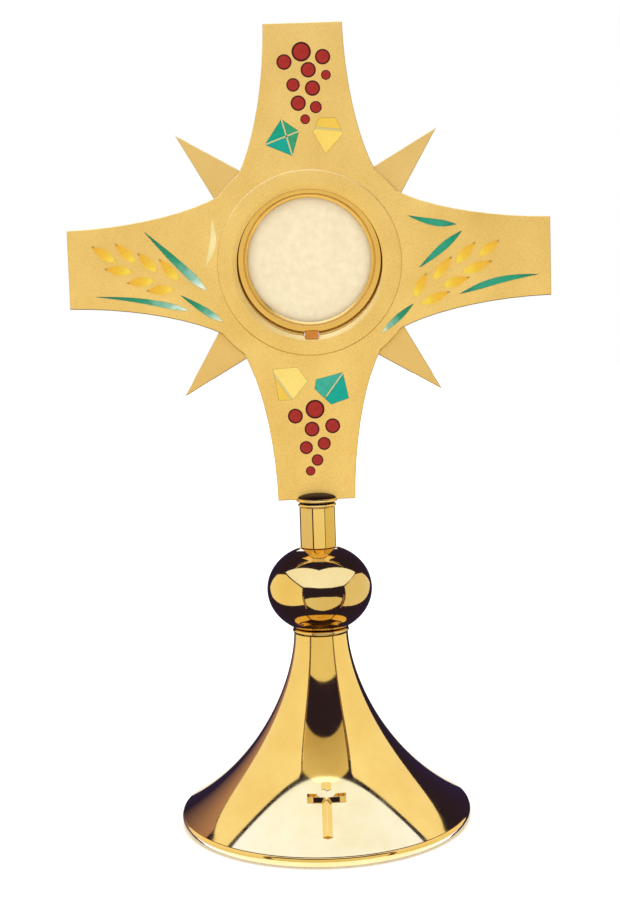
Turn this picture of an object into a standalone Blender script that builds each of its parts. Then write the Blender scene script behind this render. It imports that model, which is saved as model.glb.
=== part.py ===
"""A church monstrance: bell foot, knop and stem, and an enamelled cross plate that holds a glass luna.

Metres, +Z up. The origin is under the middle of the foot and the front of the cross faces -Y.
"""

import math

import bmesh
import bpy
from mathutils import Matrix, Vector
from mathutils.geometry import interpolate_bezier

# ---------------------------------------------------------------- driving sizes

GAP = 0.0003  # between pieces that touch
TINY = 0.00001

# Foot
FELT_THICKNESS = 0.0015
FELT_SHOWS = 0.0005  # the rim stands this far off the table
COVER_THICKNESS = 0.0012
FOOT_RADIUS = 0.0815
RIM_UNDERCUT = 0.0015  # the rim is this much narrower at the table
RIM_HEIGHT = 0.0055
RIM_WIDTH = 0.0039
SHELL_HEIGHT = 0.0997
SHELL_WALL = 0.0012
NECK_RADIUS = 0.0152
BALLAST_RADIUS = 0.0450
BALLAST_HEIGHT = 0.0120
EMBLEM_HEIGHT = 0.0320
EMBLEM_WIDTH = 0.0210
EMBLEM_BAR = 0.0046
EMBLEM_RELIEF = 0.0011
EMBLEM_PLACE = 0.83  # along the bell's curve, from neck to rim

# Knop, stem and collar
NECK_RING_HEIGHT = 0.0024
NECK_RING_PROUD = 0.0006
KNOP_RADIUS = 0.0295
KNOP_HALF_HEIGHT = 0.0249
KNOP_WALL = 0.0012
SLEEVE_WALL = 0.0026
STEM_RADIUS = 0.0101
STEM_WALL = 0.0015
STEM_LENGTH = 0.0227
BUSH_HEIGHT = 0.0060
COLLAR_RADIUS = 0.0116
COLLAR_HEIGHT = 0.0058
COLLAR_DOME = 0.0016
COLLAR_SPIGOT = 0.0152
SEAT_DEPTH = 0.0023  # the plate's lower edge stands this deep in the collar
ROD_RADIUS = 0.0030
NUT_HEIGHT = 0.0042
NUT_RADIUS = 0.0058
WASHER_RADIUS = 0.0070
WASHER_THICKNESS = 0.0010
BUSHING_HEIGHT = 0.0047

# Cross plate
PLATE_THICKNESS = 0.0026
PLATE_CHAMFER = 0.0004
ARM_UP = 0.1290
ARM_DOWN = 0.1310
ARM_SIDE = 0.1325
ARM_END_HALF = 0.0215
DISC_RADIUS = 0.0617
ARM_ROOT_HALF = 0.0375
TENON_WIDTH = 0.0120
TENON_DEPTH = 0.0055
CELL_DEPTH = 0.0012
ENAMEL_PROUD = 0.0001
PLATE_SCREW_RADIUS = 0.0008
PLATE_SCREW_SPREAD = 0.0035

# Rays
RAY_TIP = 0.1011
RAY_SLOPE = 0.27  # half-width gained for each unit of length from the tip
RAY_THICKNESS = 0.0018

# Window, bezel and housing
LUNA_RADIUS = 0.0396
LUNA_RISE = 0.0016  # the luna sits this far above the window's centre
LUNA_FLANGE = 0.0016
WINDOW_MARGIN = 0.0021  # round the luna
BEZEL_WIDTH = 0.0088
BEZEL_THICKNESS = 0.0012
BEZEL_PROUD = 0.0006
BEZEL_CHAMFER = 0.0008
HOUSING_WALL = 0.0035
HOUSING_DEPTH = 0.0074
SPRING_THICKNESS = 0.0006
SPRING_LENGTH = 0.0220
SPRING_WIDTH = 0.0032
DIMPLE_RADIUS = 0.0012

# Luna
LUNA_RECESS = 0.0015  # its front face lies this far behind the bezel's
LUNA_LIP = 0.0036
FRONT_LIP_DEPTH = 0.0012
FRONT_RING_DEPTH = 0.0067
FLANGE_THICKNESS = 0.0010
BACK_RING_DEPTH = 0.0020
BACK_RING_STEP = 0.0009  # the back ring is this much smaller than the front one
BACK_LIP_DEPTH = 0.0006
CASE_WALL = 0.0018
CRYSTAL_THICKNESS = 0.0012
BACK_CRYSTAL_THICKNESS = 0.0009
HOST_THICKNESS = 0.0008
LUNETTE_WIDTH = 0.0055
LUNETTE_THICKNESS = 0.0010
KNUCKLE_RADIUS = 0.0015
PIN_RADIUS = 0.0007
HINGE_WIDTH = 0.0100
HINGE_MIDDLE = 0.0038
TONGUE_WIDTH = 0.0075
TONGUE_THICKNESS = 0.0030
TONGUE_TAIL = 0.0030
TONGUE_PROUD = 0.0004
TONGUE_BEVEL = 0.0004

# Enamel. Each grape is (across, up, radius) from the cross's centre.
GRAPES_TOP = (
    (-0.0010, 0.1135, 0.0053),
    (0.0105, 0.1105, 0.0042),
    (-0.0105, 0.1083, 0.0042),
    (0.0025, 0.1038, 0.0042),
    (0.0120, 0.1008, 0.0027),
    (-0.0060, 0.0960, 0.0037),
    (0.0045, 0.0940, 0.0042),
    (-0.0035, 0.0862, 0.0042),
    (0.0060, 0.0838, 0.0033),
    (0.0000, 0.0775, 0.0027),
)
GRAPES_BOTTOM = (
    (0.0005, -0.0805, 0.0053),
    (-0.0105, -0.0840, 0.0042),
    (0.0100, -0.0900, 0.0042),
    (-0.0015, -0.0915, 0.0042),
    (0.0050, -0.0997, 0.0037),
    (-0.0050, -0.1017, 0.0037),
    (0.0010, -0.1088, 0.0033),
    (-0.0030, -0.1148, 0.0027),
)
# Each leaf is its corners, (across, up).
LEAVES = {
    "leaf_top_green": ((-0.0130, 0.0780), (-0.0035, 0.0712), (-0.0075, 0.0580), (-0.0225, 0.0645)),
    "leaf_top_yellow": ((0.0075, 0.0780), (0.0165, 0.0780), (0.0205, 0.0692), (0.0105, 0.0585), (0.0040, 0.0705)),
    "leaf_bottom_yellow": (
        (-0.0220, -0.0575), (-0.0085, -0.0570), (-0.0030, -0.0648), (-0.0115, -0.0750), (-0.0195, -0.0750),
    ),
    "leaf_bottom_turquoise": (
        (0.0015, -0.0640), (0.0165, -0.0605), (0.0195, -0.0750), (0.0095, -0.0782), (0.0005, -0.0692),
    ),
}
# Each grain of wheat runs from its tip to its butt, (across, up).
GRAIN_WIDTH = 0.0053
GRAIN_WIDEST = 0.55
GRAINS = (
    ((-0.1190, 0.0125), (-0.1065, 0.0035)),
    ((-0.1060, 0.0135), (-0.0955, 0.0030)),
    ((-0.0940, 0.0080), (-0.0840, -0.0025)),
    ((-0.0825, 0.0045), (-0.0720, -0.0075)),
    ((-0.1125, 0.0000), (-0.0975, -0.0020)),
    ((-0.1005, -0.0080), (-0.0855, -0.0070)),
    ((-0.0900, -0.0125), (-0.0750, -0.0120)),
    ((0.1040, 0.0090), (0.0930, 0.0010)),
    ((0.0910, 0.0085), (0.0800, -0.0030)),
    ((0.0780, 0.0010), (0.0675, -0.0115)),
    ((0.0640, -0.0075), (0.0570, -0.0205)),
    ((0.1000, -0.0020), (0.0835, -0.0080)),
    ((0.0875, -0.0105), (0.0725, -0.0150)),
    ((0.0765, -0.0180), (0.0605, -0.0245)),
)
# Each blade runs from its first end to its second: where it is widest (0 to 1), how wide, and its bow.
BLADES = {
    "blade_left_upper": ((-0.0900, 0.0195), (-0.0570, -0.0135), 0.78, 0.0045, 0.0000),
    "blade_left_lower": ((-0.1180, -0.0150), (-0.0670, -0.0240), 0.80, 0.0030, 0.0015),
    "blade_left_inner": ((-0.0715, -0.0155), (-0.0490, -0.0305), 0.70, 0.0036, 0.0000),
    "blade_right_top": ((0.0545, 0.0240), (0.0810, 0.0185), 0.65, 0.0036, -0.0010),
    "blade_right_upper": ((0.0840, 0.0150), (0.0600, -0.0045), 0.40, 0.0040, 0.0000),
    "blade_right_lower": ((0.1255, -0.0100), (0.0820, -0.0195), 0.60, 0.0036, -0.0020),
    "blade_right_inner": ((0.0565, -0.0240), (0.0385, -0.0395), 0.50, 0.0034, 0.0000),
    "crescent_left": ((-0.0530, 0.0275), (-0.0580, -0.0020), 0.55, 0.0036, 0.0028),
}

# Fineness of the round shapes
ROUND_LARGE = 52
ROUND_KNOP = 36
ROUND_SMALL = 24
ROUND_GRAPE = 16
BELL_POINTS = 11
FINE_POINTS = 101
KNOP_POINTS = 11

# ---------------------------------------------------------------- places worked out from the sizes

RIM_BOTTOM_Z = FELT_SHOWS
RIM_TOP_Z = RIM_BOTTOM_Z + RIM_HEIGHT
COVER_BOTTOM_Z = FELT_THICKNESS + GAP
COVER_TOP_Z = COVER_BOTTOM_Z + COVER_THICKNESS
BALLAST_BOTTOM_Z = COVER_TOP_Z + GAP
BALLAST_TOP_Z = BALLAST_BOTTOM_Z + BALLAST_HEIGHT
SHELL_BOTTOM_Z = RIM_TOP_Z + GAP
SHELL_TOP_Z = SHELL_BOTTOM_Z + SHELL_HEIGHT
SHELL_FOOT_RADIUS = FOOT_RADIUS - 0.0005
RIM_INNER_RADIUS = FOOT_RADIUS - RIM_WIDTH
ROD_HOLE = ROD_RADIUS + GAP
BUSHING_TOP_Z = SHELL_TOP_Z - GAP
NECK_RING_Z = SHELL_TOP_Z + GAP
NECK_RING_TOP_Z = NECK_RING_Z + NECK_RING_HEIGHT
KNOP_BOTTOM_Z = NECK_RING_TOP_Z + GAP
KNOP_BOTTOM_RADIUS = NECK_RADIUS - 0.0009
KNOP_TOP_RADIUS = STEM_RADIUS + 0.0002


def knop_height_at(radius):
    return KNOP_HALF_HEIGHT * math.sqrt(1 - (radius / KNOP_RADIUS) ** 2)


KNOP_Z = KNOP_BOTTOM_Z + knop_height_at(KNOP_BOTTOM_RADIUS)
KNOP_TOP_Z = KNOP_Z + knop_height_at(KNOP_TOP_RADIUS)
SLEEVE_RADIUS = ROD_HOLE + SLEEVE_WALL
STEM_BOTTOM_Z = KNOP_TOP_Z + GAP
STEM_TOP_Z = STEM_BOTTOM_Z + STEM_LENGTH
STEM_BORE = STEM_RADIUS - STEM_WALL
SPIGOT_RADIUS = STEM_BORE - GAP
COLLAR_BOTTOM_Z = STEM_TOP_Z + GAP
COLLAR_RIM_Z = COLLAR_BOTTOM_Z + COLLAR_HEIGHT
COLLAR_TOP_Z = COLLAR_RIM_Z + COLLAR_DOME
PLATE_BOTTOM_Z = COLLAR_RIM_Z - SEAT_DEPTH
CROSS_Z = PLATE_BOTTOM_Z + ARM_DOWN
TENON_BOTTOM_Z = PLATE_BOTTOM_Z - TENON_DEPTH
ROD_TOP_Z = TENON_BOTTOM_Z - 0.0035
ROD_BORE_TOP_Z = ROD_TOP_Z + GAP
NUT_Z = BALLAST_BOTTOM_Z + 0.0015
WASHER_Z = NUT_Z + NUT_HEIGHT + GAP
POCKET_TOP_Z = WASHER_Z + WASHER_THICKNESS + GAP
POCKET_RADIUS = WASHER_RADIUS + 0.0010
ROD_BOTTOM_Z = NUT_Z - 0.0006
PLATE_SCREW_Z = COLLAR_BOTTOM_Z + 0.0010

FRONT_Y = -PLATE_THICKNESS / 2
BACK_Y = PLATE_THICKNESS / 2
BEZEL_FRONT_Y = FRONT_Y - BEZEL_PROUD
BEZEL_BACK_Y = BEZEL_FRONT_Y + BEZEL_THICKNESS
WINDOW_RADIUS = LUNA_RADIUS + WINDOW_MARGIN
BEZEL_RADIUS = WINDOW_RADIUS + BEZEL_WIDTH
RECESS_Y = BEZEL_BACK_Y + GAP
PLATE_WINDOW_RADIUS = WINDOW_RADIUS + GAP
BEHIND_Y = BACK_Y + GAP

LUNA_Z = CROSS_Z + LUNA_RISE
LUNA_FRONT_Y = BEZEL_FRONT_Y + LUNA_RECESS
FRONT_RING_BACK_Y = LUNA_FRONT_Y + FRONT_RING_DEPTH
BACK_RING_FRONT_Y = FRONT_RING_BACK_Y + GAP
BACK_RING_BACK_Y = BACK_RING_FRONT_Y + BACK_RING_DEPTH
BACK_RING_RADIUS = LUNA_RADIUS - BACK_RING_STEP
FLANGE_FRONT_Y = FRONT_RING_BACK_Y - FLANGE_THICKNESS
FLANGE_RADIUS = LUNA_RADIUS + LUNA_FLANGE
OPENING_RADIUS = LUNA_RADIUS - LUNA_LIP
SEAT_RADIUS = LUNA_RADIUS - CASE_WALL
CRYSTAL_RADIUS = SEAT_RADIUS - GAP
FRONT_CRYSTAL_Y = LUNA_FRONT_Y + FRONT_LIP_DEPTH + GAP
HOST_Y = FRONT_CRYSTAL_Y + CRYSTAL_THICKNESS + 0.0006
HOST_RADIUS = OPENING_RADIUS - 0.0008
LUNETTE_Y = HOST_Y + HOST_THICKNESS + GAP
BACK_CRYSTAL_Y = BACK_RING_BACK_Y - BACK_LIP_DEPTH - GAP - BACK_CRYSTAL_THICKNESS
LUNA_BORE = LUNA_RADIUS + GAP
FLANGE_BORE = FLANGE_RADIUS + GAP
SHOULDER_Y = FLANGE_FRONT_Y - GAP
HOUSING_BACK_Y = BEHIND_Y + HOUSING_DEPTH
HOUSING_RADIUS = FLANGE_BORE + HOUSING_WALL
HINGE_Y = BACK_RING_FRONT_Y + KNUCKLE_RADIUS
HINGE_RISE = FLANGE_RADIUS + 0.0007
HINGE_Z = LUNA_Z + HINGE_RISE
TONGUE_INNER = LUNA_RADIUS + GAP
TONGUE_OUTER = TONGUE_INNER + TONGUE_THICKNESS
NOTCH_RADIUS = TONGUE_OUTER + 0.0010
FAR = 0.02  # how far a cutter reaches past what it cuts

GOLD = (0.86, 0.60, 0.20)
SATIN_GOLD = (0.83, 0.62, 0.27)
COLOURS = {
    "polished_gold": (GOLD, 0.08, 1.0),
    "satin_gold": (SATIN_GOLD, 0.38, 1.0),
    "brass": ((0.72, 0.53, 0.22), 0.35, 1.0),
    "copper": ((0.72, 0.33, 0.12), 0.30, 1.0),
    "steel": ((0.55, 0.55, 0.56), 0.35, 1.0),
    "cast_iron": ((0.13, 0.13, 0.13), 0.65, 1.0),
    "felt": ((0.03, 0.12, 0.07), 0.95, 0.0),
    "glass": ((0.93, 0.96, 0.95), 0.02, 0.0),
    "wafer": ((0.90, 0.83, 0.66), 0.80, 0.0),
    "grape_enamel": ((0.36, 0.02, 0.03), 0.15, 0.0),
    "green_enamel": ((0.02, 0.42, 0.30), 0.15, 0.0),
    "turquoise_enamel": ((0.03, 0.42, 0.38), 0.15, 0.0),
    "yellow_enamel": ((0.80, 0.64, 0.24), 0.15, 0.0),
}

FACING = (math.pi / 2, 0, 0)  # turns a shape's own +Z to the front, -Y


# ---------------------------------------------------------------- helpers


def clear_scene():
    for old in list(bpy.data.objects):
        bpy.data.objects.remove(old, do_unlink=True)


def new_collection(name, parent, hidden=False):
    made = bpy.data.collections.new(name)
    parent.children.link(made)
    made.hide_render = hidden
    return made


def material(name):
    """One Principled material for each entry of COLOURS, made when it is first asked for."""
    made = bpy.data.materials.get(name)
    if made:
        return made
    colour, roughness, metallic = COLOURS[name]
    made = bpy.data.materials.new(name)
    made.use_nodes = True
    shader = made.node_tree.nodes["Principled BSDF"]
    shader.inputs["Base Color"].default_value = (*colour, 1)
    shader.inputs["Roughness"].default_value = roughness
    shader.inputs["Metallic"].default_value = metallic
    made.diffuse_color = (*colour, 1)
    return made


def add_object(name, data, collection, finish=None, place=(0, 0, 0), turn=(0, 0, 0)):
    """An object in a collection. Without a finish it is a cutter."""
    made = bpy.data.objects.new(name, data)
    made.location = place
    made.rotation_euler = turn
    collection.objects.link(made)
    if finish:
        # Each sub-part has its own material, named for it.
        own = material(finish).copy()
        own.name = name + "_" + finish
        data.materials.append(own)
    else:
        made.hide_render = True
        made.display_type = "WIRE"
    return made


def from_bmesh(name, shape, *rest, **named):
    bmesh.ops.recalc_face_normals(shape, faces=shape.faces)
    mesh = bpy.data.meshes.new(name)
    shape.to_mesh(mesh)
    shape.free()
    return add_object(name, mesh, *rest, **named)


def turned(name, profile, closed, steps, *rest, **named):
    """A turned solid. The profile is (radius, height), and runs down its outer side.

    A closed profile makes a ring. An open one starts and ends on the axis.
    """
    count = len(profile)
    edges = [(i, i + 1) for i in range(count - 1)]
    if closed:
        edges.append((count - 1, 0))
    mesh = bpy.data.meshes.new(name)
    mesh.from_pydata([(radius, 0, height) for radius, height in profile], edges, [])
    made = add_object(name, mesh, *rest, **named)
    screw = made.modifiers.new("turn", "SCREW")
    screw.steps = steps
    screw.render_steps = steps
    screw.use_merge_vertices = True
    screw.merge_threshold = TINY
    screw.use_smooth_shade = True
    return made


def turned_facing(name, profile, closed, steps, collection, finish=None, height=None):
    """A turned solid whose axis is Y. The profile is (radius, y), and its outer side runs to the back."""
    flipped = [(radius, -y) for radius, y in profile]
    place = (0, 0, LUNA_Z if height is None else height)
    return turned(name, flipped, closed, steps, collection, finish, place=place, turn=FACING)


def disc_profile(radius, top, bottom, edge=0.0):
    """A solid disc about the axis, with its two rims cut back by edge."""
    if not edge:
        return [(0, top), (radius, top), (radius, bottom), (0, bottom)]
    return [
        (0, top), (radius - edge, top), (radius, top - edge),
        (radius, bottom + edge), (radius - edge, bottom), (0, bottom),
    ]


def ring_profile(outer, inner, top, bottom):
    return [(outer, top), (outer, bottom), (inner, bottom), (inner, top)]


def add_box(name, low, high, *rest, **named):
    shape = bmesh.new()
    middle = (Vector(low) + Vector(high)) / 2
    size = Vector(high) - Vector(low)
    place = Matrix.Translation(middle) @ Matrix.Diagonal((*size, 1))
    bmesh.ops.create_cube(shape, size=1, matrix=place)
    return from_bmesh(name, shape, *rest, **named)


def add_rod(name, start, end, radius, steps, *rest, **named):
    """A cylinder from one point to another."""
    shape = bmesh.new()
    start = Vector(start)
    end = Vector(end)
    turn = Vector((0, 0, 1)).rotation_difference(end - start).to_matrix().to_4x4()
    place = Matrix.Translation((start + end) / 2) @ turn
    bmesh.ops.create_cone(
        shape, cap_ends=True, segments=steps, radius1=radius, radius2=radius,
        depth=(end - start).length, matrix=place,
    )
    return from_bmesh(name, shape, *rest, **named)


def flat_mesh(name, outline, half_thickness, resolution=1, chamfer=0):
    """The mesh of a flat plate: a filled 2D curve, extruded both ways and made a closed mesh.

    The outline is a list of (point, left handle, right handle); a straight corner gives None for a handle.
    A chamfer cuts back the edges of both faces.
    """
    curve = bpy.data.curves.new(name, "CURVE")
    curve.dimensions = "2D"
    curve.fill_mode = "BOTH"
    curve.extrude = half_thickness - chamfer
    curve.bevel_depth = chamfer
    curve.bevel_resolution = 0
    curve.offset = -chamfer
    curve.resolution_u = resolution
    spline = curve.splines.new("BEZIER")
    spline.bezier_points.add(len(outline) - 1)
    spline.use_cyclic_u = True
    for point, (place, left, right) in zip(spline.bezier_points, outline):
        point.handle_left_type = "FREE" if left else "VECTOR"
        point.handle_right_type = "FREE" if right else "VECTOR"
        point.co = (*place, 0)
        point.handle_left = (*(left or place), 0)
        point.handle_right = (*(right or place), 0)
    helper = bpy.data.objects.new(name + "_outline", curve)
    bpy.context.scene.collection.objects.link(helper)
    bpy.context.view_layer.update()
    graph = bpy.context.evaluated_depsgraph_get()
    mesh = bpy.data.meshes.new_from_object(helper.evaluated_get(graph))
    bpy.data.objects.remove(helper)
    shape = bmesh.new()
    shape.from_mesh(mesh)
    bmesh.ops.remove_doubles(shape, verts=shape.verts, dist=TINY)
    # The two caps come as triangles, and become one polygon each.
    bmesh.ops.dissolve_limit(
        shape, angle_limit=math.radians(0.1), verts=shape.verts, edges=shape.edges
    )
    bmesh.ops.recalc_face_normals(shape, faces=shape.faces)
    shape.to_mesh(mesh)
    shape.free()
    mesh.materials.clear()
    return mesh


def flat_piece(name, outline, front, back, collection, finish=None, resolution=1, chamfer=0):
    """A flat piece that stands facing -Y, with its outline about the cross's centre."""
    mesh = flat_mesh(name, outline, (back - front) / 2, resolution, chamfer)
    place = (0, (front + back) / 2, CROSS_Z)
    return add_object(name, mesh, collection, finish, place=place, turn=FACING)


def corners(points):
    return [(point, None, None) for point in points]


def bevel(piece, width, segments=1):
    made = piece.modifiers.new("bevel", "BEVEL")
    made.width = width
    made.segments = segments
    made.limit_method = "ANGLE"
    made.angle_limit = math.radians(35)
    return made


def cut(piece, cutter, operation="DIFFERENCE"):
    made = piece.modifiers.new("cut", "BOOLEAN")
    made.operation = operation
    if isinstance(cutter, bpy.types.Collection):
        made.operand_type = "COLLECTION"
        made.collection = cutter
    else:
        made.object = cutter
    return made


def offset_outward(points, distance):
    """The profile moved sideways by distance, away from the axis."""
    moved = []
    for i, point in enumerate(points):
        before = points[max(i - 1, 0)]
        after = points[min(i + 1, len(points) - 1)]
        along = (Vector(after) - Vector(before)).normalized()
        moved.append((point[0] - along.y * distance, point[1] + along.x * distance))
    return moved


def widened(points, distance):
    """A polygon with every side moved outward by distance."""
    grown = []
    count = len(points)
    area = sum(
        points[i][0] * points[(i + 1) % count][1] - points[(i + 1) % count][0] * points[i][1]
        for i in range(count)
    )
    side = math.copysign(1, area)
    for i, point in enumerate(points):
        here = Vector(point)
        into = (here - Vector(points[i - 1])).normalized()
        out = (Vector(points[(i + 1) % count]) - here).normalized()
        into_normal = Vector((into.y, -into.x)) * side
        out_normal = Vector((out.y, -out.x)) * side
        middle = (into_normal + out_normal).normalized()
        reach = distance / max(middle.dot(into_normal), 0.35)
        grown.append(tuple(here + middle * reach))
    return grown


def leaf_shape(start, end, widest, width, bow, steps=4):
    """The outline of a pointed blade, as corner points."""
    start = Vector(start)
    along = Vector(end) - start
    across = Vector((-along.y, along.x)).normalized()
    sides = ([], [])
    for i in range(1, 2 * steps):
        share = i / (2 * steps)
        if share < widest:
            fullness = math.sin(share / widest * math.pi / 2)
        else:
            fullness = math.sin((1 - share) / (1 - widest) * math.pi / 2)
        spine = start + along * share + across * bow * math.sin(math.pi * share)
        sides[0].append(spine + across * fullness * width / 2)
        sides[1].append(spine - across * fullness * width / 2)
    points = [start, *sides[0], Vector(end), *reversed(sides[1])]
    return [tuple(point) for point in points]


# ---------------------------------------------------------------- foot


def bell_curve(points=BELL_POINTS):
    """The outside of the bell, (radius, height) from the neck down to the rim."""
    reach = SHELL_FOOT_RADIUS - NECK_RADIUS
    top = Vector((NECK_RADIUS, SHELL_TOP_Z, 0))
    upper = Vector((NECK_RADIUS + 0.008 * reach, SHELL_BOTTOM_Z + 0.78 * SHELL_HEIGHT, 0))
    lower = Vector((NECK_RADIUS + 0.24 * reach, SHELL_BOTTOM_Z + 0.30 * SHELL_HEIGHT, 0))
    bottom = Vector((SHELL_FOOT_RADIUS, SHELL_BOTTOM_Z, 0))
    return [(p.x, p.y) for p in interpolate_bezier(top, upper, lower, bottom, points)]


def make_felt_pad(parts):
    profile = disc_profile(RIM_INNER_RADIUS - 2 * GAP, FELT_THICKNESS, 0)
    return turned("felt_pad", profile, False, ROUND_LARGE, parts, "felt")


def make_base_cover(parts):
    profile = disc_profile(RIM_INNER_RADIUS - GAP, COVER_TOP_Z, COVER_BOTTOM_Z)
    return turned("base_cover", profile, False, ROUND_LARGE, parts, "brass")


def make_ballast(parts):
    profile = [
        (BALLAST_RADIUS - 0.001, BALLAST_TOP_Z), (BALLAST_RADIUS, BALLAST_TOP_Z - 0.001),
        (BALLAST_RADIUS, BALLAST_BOTTOM_Z), (POCKET_RADIUS, BALLAST_BOTTOM_Z),
        (POCKET_RADIUS, POCKET_TOP_Z), (ROD_HOLE, POCKET_TOP_Z), (ROD_HOLE, BALLAST_TOP_Z),
    ]
    return turned("ballast_weight", profile, True, ROUND_KNOP, parts, "cast_iron")


def make_rim_ring(parts):
    edge = 0.0007
    profile = [
        (FOOT_RADIUS - edge, RIM_TOP_Z), (FOOT_RADIUS, RIM_TOP_Z - edge),
        (FOOT_RADIUS, RIM_TOP_Z - 0.45 * RIM_HEIGHT), (FOOT_RADIUS - RIM_UNDERCUT, RIM_BOTTOM_Z),
        (RIM_INNER_RADIUS, RIM_BOTTOM_Z), (RIM_INNER_RADIUS, RIM_TOP_Z),
    ]
    return turned("foot_rim_ring", profile, True, ROUND_LARGE, parts, "polished_gold")


def make_foot_shell(parts):
    outside = bell_curve()
    inside = offset_outward(outside, -SHELL_WALL)
    # The two ends are level, so the inner curve is trimmed to the heights of the outer one.
    inside[0] = (inside[0][0], SHELL_TOP_Z)
    along = (Vector(inside[-1]) - Vector(inside[-2])).normalized()
    last = Vector(inside[-2]) + along * (SHELL_BOTTOM_Z - inside[-2][1]) / along.y
    inside[-1] = (last.x, SHELL_BOTTOM_Z)
    profile = outside + list(reversed(inside))
    return turned("foot_shell", profile, True, ROUND_LARGE, parts, "polished_gold")


def make_emblem(parts, cutters):
    """A plain raised cross that follows the bell: a straight cross cut to a band over the bell."""
    outside = bell_curve()
    band = offset_outward(outside, GAP + EMBLEM_RELIEF) + list(reversed(offset_outward(outside, GAP)))
    follower = turned("emblem_band", band, True, 2 * ROUND_LARGE, cutters)
    fine = bell_curve(FINE_POINTS)
    index = round(EMBLEM_PLACE * (FINE_POINTS - 1))
    above, here, below = fine[index - 1:index + 2]
    slope = math.atan2(above[1] - below[1], below[0] - above[0])
    half = EMBLEM_BAR / 2
    top = EMBLEM_HEIGHT / 2
    arm = EMBLEM_WIDTH / 2
    bar = 0.22 * EMBLEM_HEIGHT
    outline = [
        (half, -top), (half, bar - half), (arm, bar - half), (arm, bar + half), (half, bar + half),
        (half, top), (-half, top), (-half, bar + half), (-arm, bar + half), (-arm, bar - half),
        (-half, bar - half), (-half, -top),
    ]
    mesh = flat_mesh("base_emblem", corners(outline), FAR / 2)
    emblem = add_object(
        "base_emblem", mesh, parts, "polished_gold", place=(0, -here[0], here[1]), turn=(slope, 0, 0)
    )
    cut(emblem, follower, "INTERSECT")
    return emblem


def make_neck_bushing(parts):
    outer = NECK_RADIUS - SHELL_WALL - GAP
    profile = ring_profile(outer, ROD_HOLE, BUSHING_TOP_Z, BUSHING_TOP_Z - BUSHING_HEIGHT)
    return turned("neck_bushing", profile, True, ROUND_SMALL, parts, "brass")


# ---------------------------------------------------------------- knop, stem and collar


def make_neck_ring(parts):
    outer = NECK_RADIUS + NECK_RING_PROUD
    edge = NECK_RING_HEIGHT / 4
    profile = [
        (outer - edge, NECK_RING_TOP_Z), (outer, NECK_RING_TOP_Z - edge), (outer, NECK_RING_Z + edge),
        (outer - edge, NECK_RING_Z), (ROD_HOLE, NECK_RING_Z), (ROD_HOLE, NECK_RING_TOP_Z),
    ]
    return turned("neck_ring", profile, True, ROUND_KNOP, parts, "polished_gold")


def knop_arc(wall):
    """Points on the knop's ellipse, or the one a wall inside it, from its top flat to its bottom flat."""
    radius = KNOP_RADIUS - wall
    half_height = KNOP_HALF_HEIGHT - wall
    first = math.acos(KNOP_TOP_RADIUS / radius)
    last = -math.acos(KNOP_BOTTOM_RADIUS / radius)
    angles = [first + (last - first) * i / (KNOP_POINTS - 1) for i in range(KNOP_POINTS)]
    return [(radius * math.cos(angle), KNOP_Z + half_height * math.sin(angle)) for angle in angles]


def make_knop(parts):
    outside = knop_arc(0)
    inside = knop_arc(KNOP_WALL)
    hole = SLEEVE_RADIUS + GAP
    profile = outside
    profile += [(hole, KNOP_BOTTOM_Z), (hole, inside[-1][1])]
    profile += list(reversed(inside))
    profile += [(hole, inside[0][1]), (hole, KNOP_TOP_Z)]
    return turned("knop", profile, True, ROUND_KNOP, parts, "polished_gold")


def make_knop_sleeve(parts):
    profile = ring_profile(SLEEVE_RADIUS, ROD_HOLE, KNOP_TOP_Z, KNOP_BOTTOM_Z)
    return turned("knop_sleeve", profile, True, ROUND_SMALL, parts, "brass")


def make_stem_bush(parts):
    profile = ring_profile(SPIGOT_RADIUS, ROD_HOLE, STEM_BOTTOM_Z + BUSH_HEIGHT, STEM_BOTTOM_Z)
    return turned("stem_bush", profile, True, ROUND_SMALL, parts, "brass")


def make_stem_tube(parts):
    profile = ring_profile(STEM_RADIUS, STEM_BORE, STEM_TOP_Z, STEM_BOTTOM_Z)
    return turned("stem_tube", profile, True, ROUND_KNOP, parts, "polished_gold")


def plate_screw_ends(side):
    across = side * PLATE_SCREW_SPREAD
    reach = math.sqrt((COLLAR_RADIUS - 0.0005) ** 2 - across ** 2)
    front = (across, -reach + 0.004, PLATE_SCREW_Z)
    back = (across, reach - 0.0008, PLATE_SCREW_Z)
    return front, back


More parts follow.
